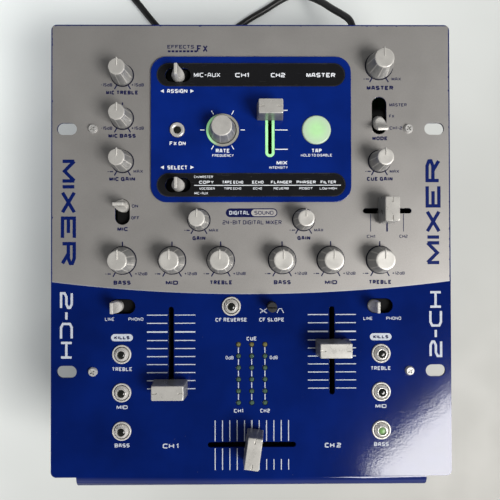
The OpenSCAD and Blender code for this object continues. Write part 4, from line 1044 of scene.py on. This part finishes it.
class MIXER_OT_stage(Maker):
    """Camera above the controls, pale floor, one large soft window light and an even fill"""
    bl_idname = "mixer.stage"
    bl_label = "Stage"

    def execute(self, context):
        look, scene = context.scene.mixer_stage, context.scene
        camera = bpy.data.objects.new("camera", bpy.data.cameras.new("camera"))
        camera.location = (-0.003445, -0.003385, 0.40068)
        camera.rotation_euler = Euler((0.0101, -0.0080, -0.0025))
        camera.data.lens = 36.1
        camera.data.clip_start = 0.01
        scene.camera = camera

        floor = bpy.data.meshes.new("floor")
        floor.from_pydata([(-3, -3, 0), (3, -3, 0), (3, 3, 0), (-3, 3, 0)], [], [(0, 1, 2, 3)])
        floor.materials.append(floor_finish(look.floor))
        floor = bpy.data.objects.new("floor", floor)

        wide, high = 0.9, 0.68
        lamp = given(bpy.data.lights.new("window_light", "AREA"), shape="RECTANGLE", size=wide,
                     size_y=high, energy=look.window * math.pi * wide * high,
                     color=(1.0, 0.985, 0.96))
        window = bpy.data.objects.new("window_light", lamp)
        # the middle of its upper edge is what the front right corner of the paint mirrors
        edge = Vector((0.7505, -0.4672, 1.5347))
        back = (edge - Vector((0, 0, 0.08))).normalized()
        along = Vector((0.75, 0.661, 0.0))
        along = (along - back * along.dot(back)).normalized()
        up = back.cross(along)
        window.location = edge - up * (high / 2)
        window.rotation_euler = Matrix((along, up, back)).transposed().to_euler()
        for thing in (camera, floor, window):
            scene.collection.objects.link(thing)

        scene.world = bpy.data.worlds.new("room")
        f = Nodes(scene.world, "Generated")
        rays = f.node("LightPath")
        camera, glossy, clear = (Wire(f, rays.outputs[f"Is {kind} Ray"])
                                 for kind in ("Camera", "Glossy", "Transmission"))
        seen = camera + glossy + clear
        seen.socket.node.use_clamp = True
        light = f.blend(seen, look.fill, f.ramp(f.z, 0.05, 0.8, 0.8, 0.03), kind="FLOAT")
        f.node("OutputWorld", f.out("Background", 0, (0.97, 0.985, 1.0), light))
        scene.view_settings.view_transform = "Standard"
        return {"FINISHED"}


class MIXER_OT_power_lead(Maker):
    """Mains lead from the strain relief to its coil and plug, with the coil's strap"""
    bl_idname = "mixer.power_lead"
    bl_label = "Power lead"

    def execute(self, context):
        jacket = moulded("cord_jacket", (0.012, 0.012, 0.013), 0.42, 1400.0, 0.12)
        strap_cloth = moulded("strap_cloth", (0.02, 0.02, 0.022), 0.8, 2200.0, 0.5)
        route = lead_route()
        lead = new_piece("power_lead", tube(route, FLOOR_R), jacket, "cord_black", smooth=60.0,
                         stands_for=("power_cord", "power_cord_coil"))
        body, blades = plug_patches()
        plug = new_piece("plug_body", body, moulded("plug_vinyl", (0.014, 0.014, 0.015)),
                         "cord_black", stands_for=("mains_plug",))
        pins = new_piece("plug_blades", blades, bare_metal("plug_brass", (0.66, 0.60, 0.42), 0.25),
                         "nickel", stands_for=("mains_plug",))
        strap = new_piece("coil_strap", coil_tie(-38.0), strap_cloth, "cord_black")
        boot = [(0, -5.0), (5.2, -5.0), (6.2, -5.0), (6.2, -1.2), (5.2, -1.2), (5.2, 0.0),
                (6.7, 0.02), (6.8, 1.6), (6.4, 2.1), (4.9, 2.9)]
        for k in range(6):
            y, r = 4.0 + 3.2 * k, 4.75 - 0.24 * k
            boot += [(r - 0.5, y - 0.5), (r - 0.45, y + 0.4), (r, y + 0.7), (r, y + 2.0),
                     (r - 0.45, y + 2.3)]
        boot += [(3.25, 23.6), (3.1, 24.7), (2.8, 25.0), (2.5, 25.0), (0, 25.0)]
        relief = new_piece("strain_relief_boot",
                           lathe(boot, (LEAD[0, 0], REAR_Y, LEAD[0, 2]), 36, "y"), jacket,
                           "cord_black", stands_for=("strain_relief",))
        return {"FINISHED"}


class MIXER_OT_sheet_metal(Maker):
    """Paint on the face plate and the case, and the finish of its screws and feet"""
    bl_idname = "mixer.sheet_metal"
    bl_label = "Sheet metal"

    def execute(self, context):
        look = context.scene.mixer_paint
        soften(0.18, two_tone_paint(look), "face_plate")
        soften(0.15, gloss_paint("case_paint", look.navy, look.peel), "front_wall",
               "chassis_tray", "rear_panel")
        soften(0.2, bare_metal("zinc_plate", (0.62, 0.61, 0.59), 0.5, 0.5),
               "screws_and_standoffs")
        soften(0.5, moulded("foot_rubber", (0.016, 0.016, 0.016), 0.75, 700.0, 0.4),
               "rubber_feet")
        return {"FINISHED"}


class MIXER_OT_effects_panel(Maker):
    """Raised effects panel with its rounded edge, windows, light guides and lamps"""
    bl_idname = "mixer.effects_panel"
    bl_label = "Effects panel"

    def execute(self, context):
        look, parts = context.scene.mixer_paint, context.scene.mixer_controls
        blue = gloss_paint("panel_paint", look.panel_blue, look.peel)
        soften(0, blue, "fx_panel")
        low, high = (np.array(corner[:2]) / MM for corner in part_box("fx_panel"))
        half, middle = (high - low) / 2, (high + low) / 2
        # outwards, height
        edge = [(0.03, PLATE_Z), (0.03, FX_Z - 0.28), (-0.03, FX_Z - 0.08), (-0.18, FX_Z + 0.03),
                (-0.45, FX_Z + 0.04), (-0.5, FX_Z - 0.2), (-0.03, PLATE_Z)]
        rim = [oblong(*(half + g), 10 + g, 16) + middle for g, _ in edge]
        new_piece("panel_rim", wall(stack(rim, [z for _, z in edge]), wrap=True), blue,
                  "fx_blue_paint")
        soften(0.2, window_acrylic(), "display_windows")
        soften(0.15, light_guide(parts.lit, parts.lit_strength), "light_guides")
        soften(0.25, lamp_plastic(), "meter_lamps")
        new_piece("bezel_rings", at_places(lathe(BEZEL, (0, 0, PLATE_Z), 64, wrap=True),
                                           [(*p, 0) for p in KILLS.values()]),
                  silver_plastic("bezel_plastic", parts.plastic, 0.3, 0.24), "silver_plastic",
                  stands_for=("button_bezels",))
        frames = frame_band(slot_outline(59.95, 7.5), slot_outline(59.35, 6.9),
                            WINDOW_Z - 0.4, WINDOW_Z + 0.12)
        new_piece("window_rims", at_places(frames, [(0, 111.3, 0), (0, 41.2, 0)]),
                  moulded("rim_plastic", (0.02, 0.02, 0.022), 0.25), "window_black")
        return {"FINISHED"}


class MIXER_OT_prints(Maker):
    """Screen-printed words, scales, ticks and rings on the plate, panel and windows"""
    bl_idname = "mixer.prints"
    bl_label = "Prints"

    def execute(self, context):
        look, cut = context.scene.mixer_paint, context.scene.mixer_print
        film, thin, bold = cut.film / MM, cut.line / MM, cut.weight
        dark, pale, white = (ink(name, tone) for name, tone in (
            ("navy_ink", look.ink), ("pale_ink", look.light_ink), ("white_ink", look.white_ink)))
        sides, small, badge_y = (-1, 1), bold * 0.75, 23.5
        pills = [(s * 82.1, -55.5) for s in sides]
        z = (PLATE_Z - 0.01, PLATE_Z + film)
        over, over_badge = (z[1], z[1] + 0.05), (z[1], z[1] + 0.06)
        rings, ticks = zip(*[knob_marks(name, z) for name in KNOBS if name != "rate_knob"])
        # painted shadow: the knobs' foot rings, in ink darkened to near-black
        printed("foot_shadow_rings", ink("foot_shadow_ink", look.ink * 0.35), "blue_paint", *rings)
        printed("navy_marks", dark, "blue_paint", *ticks,
                *[bar((x, 22.6), (x, 11.4), wide, z)
                  for x, wide in ((76.0, 0.42), (86.5, 1.0), (97.0, 0.42))],
                flat(slot_outline(16.4, 2.8) + (0.2, badge_y), z),
                *[bar((-52.9 + 2.4 * k, 126.6), (-51.2 + 2.4 * k, 126.6), 1.2, z)
                  for k in range(8)])
        printed("badge_field", ink("silver_ink", look.silver), "silver_blue_paint",
                flat(slot_outline(8.0, 2.15) + (8.0, badge_y), (z[1] - 0.01, z[1] + 0.03)))
        printed("navy_words", dark, "blue_paint", words(SILVER_WORDS, z, bold * 1.25),
                words(SILVER_SMALL, z, bold * 0.85),
                word_patch("24-BIT DIGITAL MIXER", 0.5, 17.4, 2.6, 37.6, z, small),
                word_patch("SOUND", 8.0, badge_y, 2.4, 12.2, over_badge, bold * 0.8))
        printed("side_words", ink("deep_blue_ink", look.navy), "blue_paint",
                *[word_patch("MIXER", s * 116.0, 24.0, 9.6, 67.0, z, bold, s * 90.0)
                  for s in sides])
        printed("pale_lines", pale, "silver_plastic", *printed_lines(z, thin),
                *[flat(slot_outline(6.9, 2.25) + pill, z) for pill in pills])
        printed("pill_words", dark, "blue_paint",
                *[word_patch("KILLS", *pill, 2.1, 9.6, over, bold * 1.3) for pill in pills])
        printed("pale_words", pale, "silver_plastic", words(BLUE_WORDS, z, bold),
                words(BLUE_SMALL, z, small),
                word_patch("DIGITAL", -7.6, badge_y, 2.5, 13.0, over_badge, bold),
                *[word_patch("2-CH", s * 117.2, -47.6, 8.2, 42.0, z, bold * 0.8, s * 90.0)
                  for s in sides])
        z = (FX_Z - 0.01, FX_Z + film)
        printed("panel_prints", white, "silver_plastic", words(PANEL_WORDS, z, bold),
                words(PANEL_SMALL, z, small),
                *[spoke(KNOBS["rate_knob"][:2], a, 11.4, 14.2, 0.55, z)
                  for a in range(0, 360, 60)],
                *[bar((15.2, y), (23.2, y), 0.6, z) for y in (88.5, 76.0, 63.7)],
                *[flat([(s * 10.6 - 46.9, y), (s * 8.4 - 46.9, y - s * 1.15),
                        (s * 8.4 - 46.9, y + s * 1.15)][::s], z)
                  for y in (100.8, 52.3) for s in sides])
        z = (WINDOW_Z - 0.01, WINDOW_Z + film)
        printed("window_prints", white, "silver_plastic", words(WINDOW_WORDS, z, bold),
                words(WINDOW_SMALL, z, small), bar((-36.2, 40.9), (57.0, 40.9), 0.45, z))
        return {"FINISHED"}


class MIXER_OT_knobs(Maker):
    """Fluted knobs with raised pointers, on their steel shafts"""
    bl_idname = "mixer.knobs"
    bl_label = "Knobs"

    def execute(self, context):
        parts = context.scene.mixer_controls
        silver = silver_plastic("knob_plastic", parts.plastic)
        steel = bare_metal("shaft_steel", (0.5, 0.5, 0.49), 0.3)
        for name, (x, y, shape) in KNOBS.items():
            cap = knob_patch(shape, parts.flutes, parts.flute_depth / MM, name != "rate_knob")
            control(name, "_cap", moved(cap, (x, y, PLATE_Z)), silver, "silver_plastic", 40.0)
            control(name, "_shaft", rod(3, FOOT_Z, PLATE_Z + shape[2] - 3.3, (x, y, 0),
                                        24), steel, "zinc_steel", 40.0)
        soften(0.2, moulded("trimmer_plastic", (0.010, 0.010, 0.011)), "slope_shaft")
        return {"FINISHED"}


class MIXER_OT_fader_caps(Maker):
    """Fader caps with notched ends, on their flat stems"""
    bl_idname = "mixer.fader_caps"
    bl_label = "Fader caps"

    def execute(self, context):
        plastic = np.array(context.scene.mixer_controls.plastic)
        silver = silver_plastic("cap_plastic", plastic * 0.83, 0.4, 0.3)
        steel = bare_metal("stem_steel", (0.45, 0.45, 0.44), 0.35)
        for name, row in FADERS.items():
            cap, stem = fader_patches(*row)
            control(name, "_cap", cap, silver, "silver_plastic", 30.0)
            control(name, "_stem", stem, steel, "zinc_steel", 30.0)
        return {"FINISHED"}


class MIXER_OT_levers(Maker):
    """Bladed levers with their black dust shields"""
    bl_idname = "mixer.levers"
    bl_label = "Levers"

    def execute(self, context):
        chrome = silver_plastic("lever_plastic", context.scene.mixer_controls.plastic, 0.35, 0.26)
        black = moulded("shield_plastic", (0.004, 0.004, 0.004), 0.75, sheen=0.12)
        for name in LEVERS:
            head, shield = lever_patches(name)
            control(name, "_blade", head, chrome, "silver_plastic", 30.0)
            control(name, "_shield", shield, black, "black_plastic", 30.0)
        return {"FINISHED"}


class MIXER_OT_buttons(Maker):
    """Kill and reverse buttons with lenses, effect-on button and lit tap button"""
    bl_idname = "mixer.buttons"
    bl_label = "Buttons"

    def execute(self, context):
        parts = context.scene.mixer_controls
        silver = silver_plastic("button_plastic", parts.plastic, 0.45, 0.26)
        dark = moulded("dark_lens", (0.010, 0.011, 0.010), 0.12, 300.0, 0.02)
        glowing = "ch2_bass_kill_button"
        lit = lit_plastic("lit_lens", (0.10, 0.24, 0.05), parts.lit_strength, KILLS[glowing], 2.2)
        for name, (x, y) in KILLS.items():
            button(name, x, y, KILL_CAP, 56, silver)
            lens(name, x, y, KILL_LENS,
                 *((lit, "tap_green") if name == glowing else (dark, "black_plastic")))
        button("fx_on_button", -46.8, 76.0, FX_CAP, 56, silver)
        lens("fx_on_button", -46.8, 76.0, FX_LENS, dark)
        x, y = 41.5, 76.0
        pad = lit_plastic("tap_plastic", (0.40, 0.68, 0.34), parts.lit_strength * 0.4, (x, y), 9)
        button("tap_button", x, y, TAP_CAP, 72, pad, "tap_green")
        return {"FINISHED"}


class MIXER_OT_sockets(Maker):
    """Phono sockets, ground post, power switch, jacks and the words beside them"""
    bl_idname = "mixer.sockets"
    bl_label = "Sockets"

    def execute(self, context):
        black = moulded("socket_plastic", (0.016, 0.016, 0.017), 0.45)
        nickel = bare_metal("nickel_plate", (0.78, 0.78, 0.78), 0.2)
        red = moulded("red_insulator", (0.42, 0.02, 0.02), 0.4, 600.0, 0.1)
        white = moulded("white_insulator", (0.6, 0.6, 0.57), 0.4, 600.0, 0.1)
        columns = [-94 + 17 * i for i in range(7)]
        lower, upper = ([(x, REAR_Y, z) for x in columns] for z in (34, 52))
        houses = at_places(block(-5.5, 5.5, -12.2, -1.2, 21.6, 58.0),
                           [(x, REAR_Y, 0) for x in columns])
        collar = lathe([(4.3, -1.2), (5.0, -1.2), (5.0, -0.05), (4.3, -0.05)], steps=40,
                       axis="y", wrap=True)
        barrel = lathe([(3.45, -1.1), (4.15, -1.1), (4.15, 9.5), (4.0, 9.9), (3.8, 10.0),
                        (3.5, 9.9), (3.45, 9.6)], axis="y", wrap=True)
        core = lathe([(1.65, -4.0), (3.4, -4.0), (3.4, 8.9), (3.1, 9.1), (1.9, 9.1),
                      (1.65, 8.9)], steps=40, axis="y", wrap=True)
        at = (26, REAR_Y, 50)
        post = lathe([(0, -4.2), (4, -4.2), (4, -1.2), (2, -1.2), (2, 9.0), (1.6, 9.4),
                      (0, 9.4)], at, 32, "y")
        nut = lathe([(0, 2.0), *[(4.5 - 0.25 * (k % 2), 2.4 + 0.32 * k) for k in range(10)],
                     (4.2, 6.0), (0, 6.0)], at, 40, "y")
        for name, patch, material, slot in (
                ("phono_houses", join(houses, at_places(collar, lower + upper)), black,
                 "black_plastic"),
                ("phono_barrels", join(at_places(barrel, lower + upper), post, nut), nickel,
                 "nickel"),
                ("right_insulators", at_places(core, lower), red, "black_plastic"),
                ("left_insulators", at_places(core, upper), white, "silver_plastic")):
            new_piece(name, patch, material, slot, stands_for=("phono_sockets",))
        soften(0.3, black, "power_switch_housing")
        soften(0.25, moulded("rocker_plastic", (0.02, 0.02, 0.02), 0.3), "power_rocker")
        soften(0.35, black, "front_jacks")
        made = [(np.column_stack([side * p[:, 0], y - side * p[:, 2], p[:, 1]]), f)
                for side, y, table in ((-1, REAR_Y, REAR_WORDS), (1, FRONT_Y, FRONT_WORDS))
                for p, f in (word_patch(*row, (-0.01, 0.06)) for row in table)]
        printed("socket_words", bpy.data.materials["pale_ink"], "silver_plastic", *made)
        return {"FINISHED"}


class MIXER_OT_insides(Maker):
    """Boards, potentiometers, tracks, switches and transformer inside the case"""
    bl_idname = "mixer.insides"
    bl_label = "Insides"

    def execute(self, context):
        soften(0, circuit_board(), "control_board", "main_board")
        soften(0.15, bare_metal("pot_metal", (0.12, 0.12, 0.12), 0.4), "potentiometers")
        soften(0, moulded("track_metal", (0.006, 0.006, 0.006), 0.6), "fader_tracks")
        soften(0, moulded("switch_plastic", (0.008, 0.008, 0.008), 0.6), "switch_bodies")
        soften(0.2, iron_core(), "transformer")
        return {"FINISHED"}


class MIXER_PT_panel(bpy.types.Panel):
    """The mixer's pieces and settings in the sidebar"""
    bl_label = "DJ mixer"
    bl_space_type = "VIEW_3D"
    bl_region_type = "UI"
    bl_category = "Mixer"

    def draw(self, context):
        for maker in MAKERS:
            self.layout.operator(maker.bl_idname)
        for group in GROUPS:
            box = self.layout.box()
            held = getattr(context.scene, group)
            for key in held.__annotations__:
                box.prop(held, key)


MAKERS = (MIXER_OT_stage, MIXER_OT_power_lead, MIXER_OT_sheet_metal, MIXER_OT_effects_panel,
          MIXER_OT_prints, MIXER_OT_knobs, MIXER_OT_fader_caps, MIXER_OT_levers,
          MIXER_OT_buttons, MIXER_OT_sockets, MIXER_OT_insides)
GROUPS = {"mixer_paint": MixerPaint, "mixer_controls": MixerControls,
          "mixer_print": MixerPrint, "mixer_stage": MixerStage}


def register():
    """Registers the classes and hangs the property groups on the scene."""
    for cls in (*GROUPS.values(), *MAKERS, MIXER_PT_panel):
        bpy.utils.register_class(cls)
    for name, group in GROUPS.items():
        setattr(bpy.types.Scene, name, bpy.props.PointerProperty(type=group))


def unregister():
    """Undoes register."""
    for name in GROUPS:
        delattr(bpy.types.Scene, name)
    for cls in (MIXER_PT_panel, *reversed(MAKERS), *reversed(GROUPS.values())):
        bpy.utils.unregister_class(cls)


def main():
    """Makes every piece in order."""
    register()
    for maker in MAKERS:
        space, name = maker.bl_idname.split(".")
        getattr(getattr(bpy.ops, space), name)()


if __name__ == "__main__":
    main()
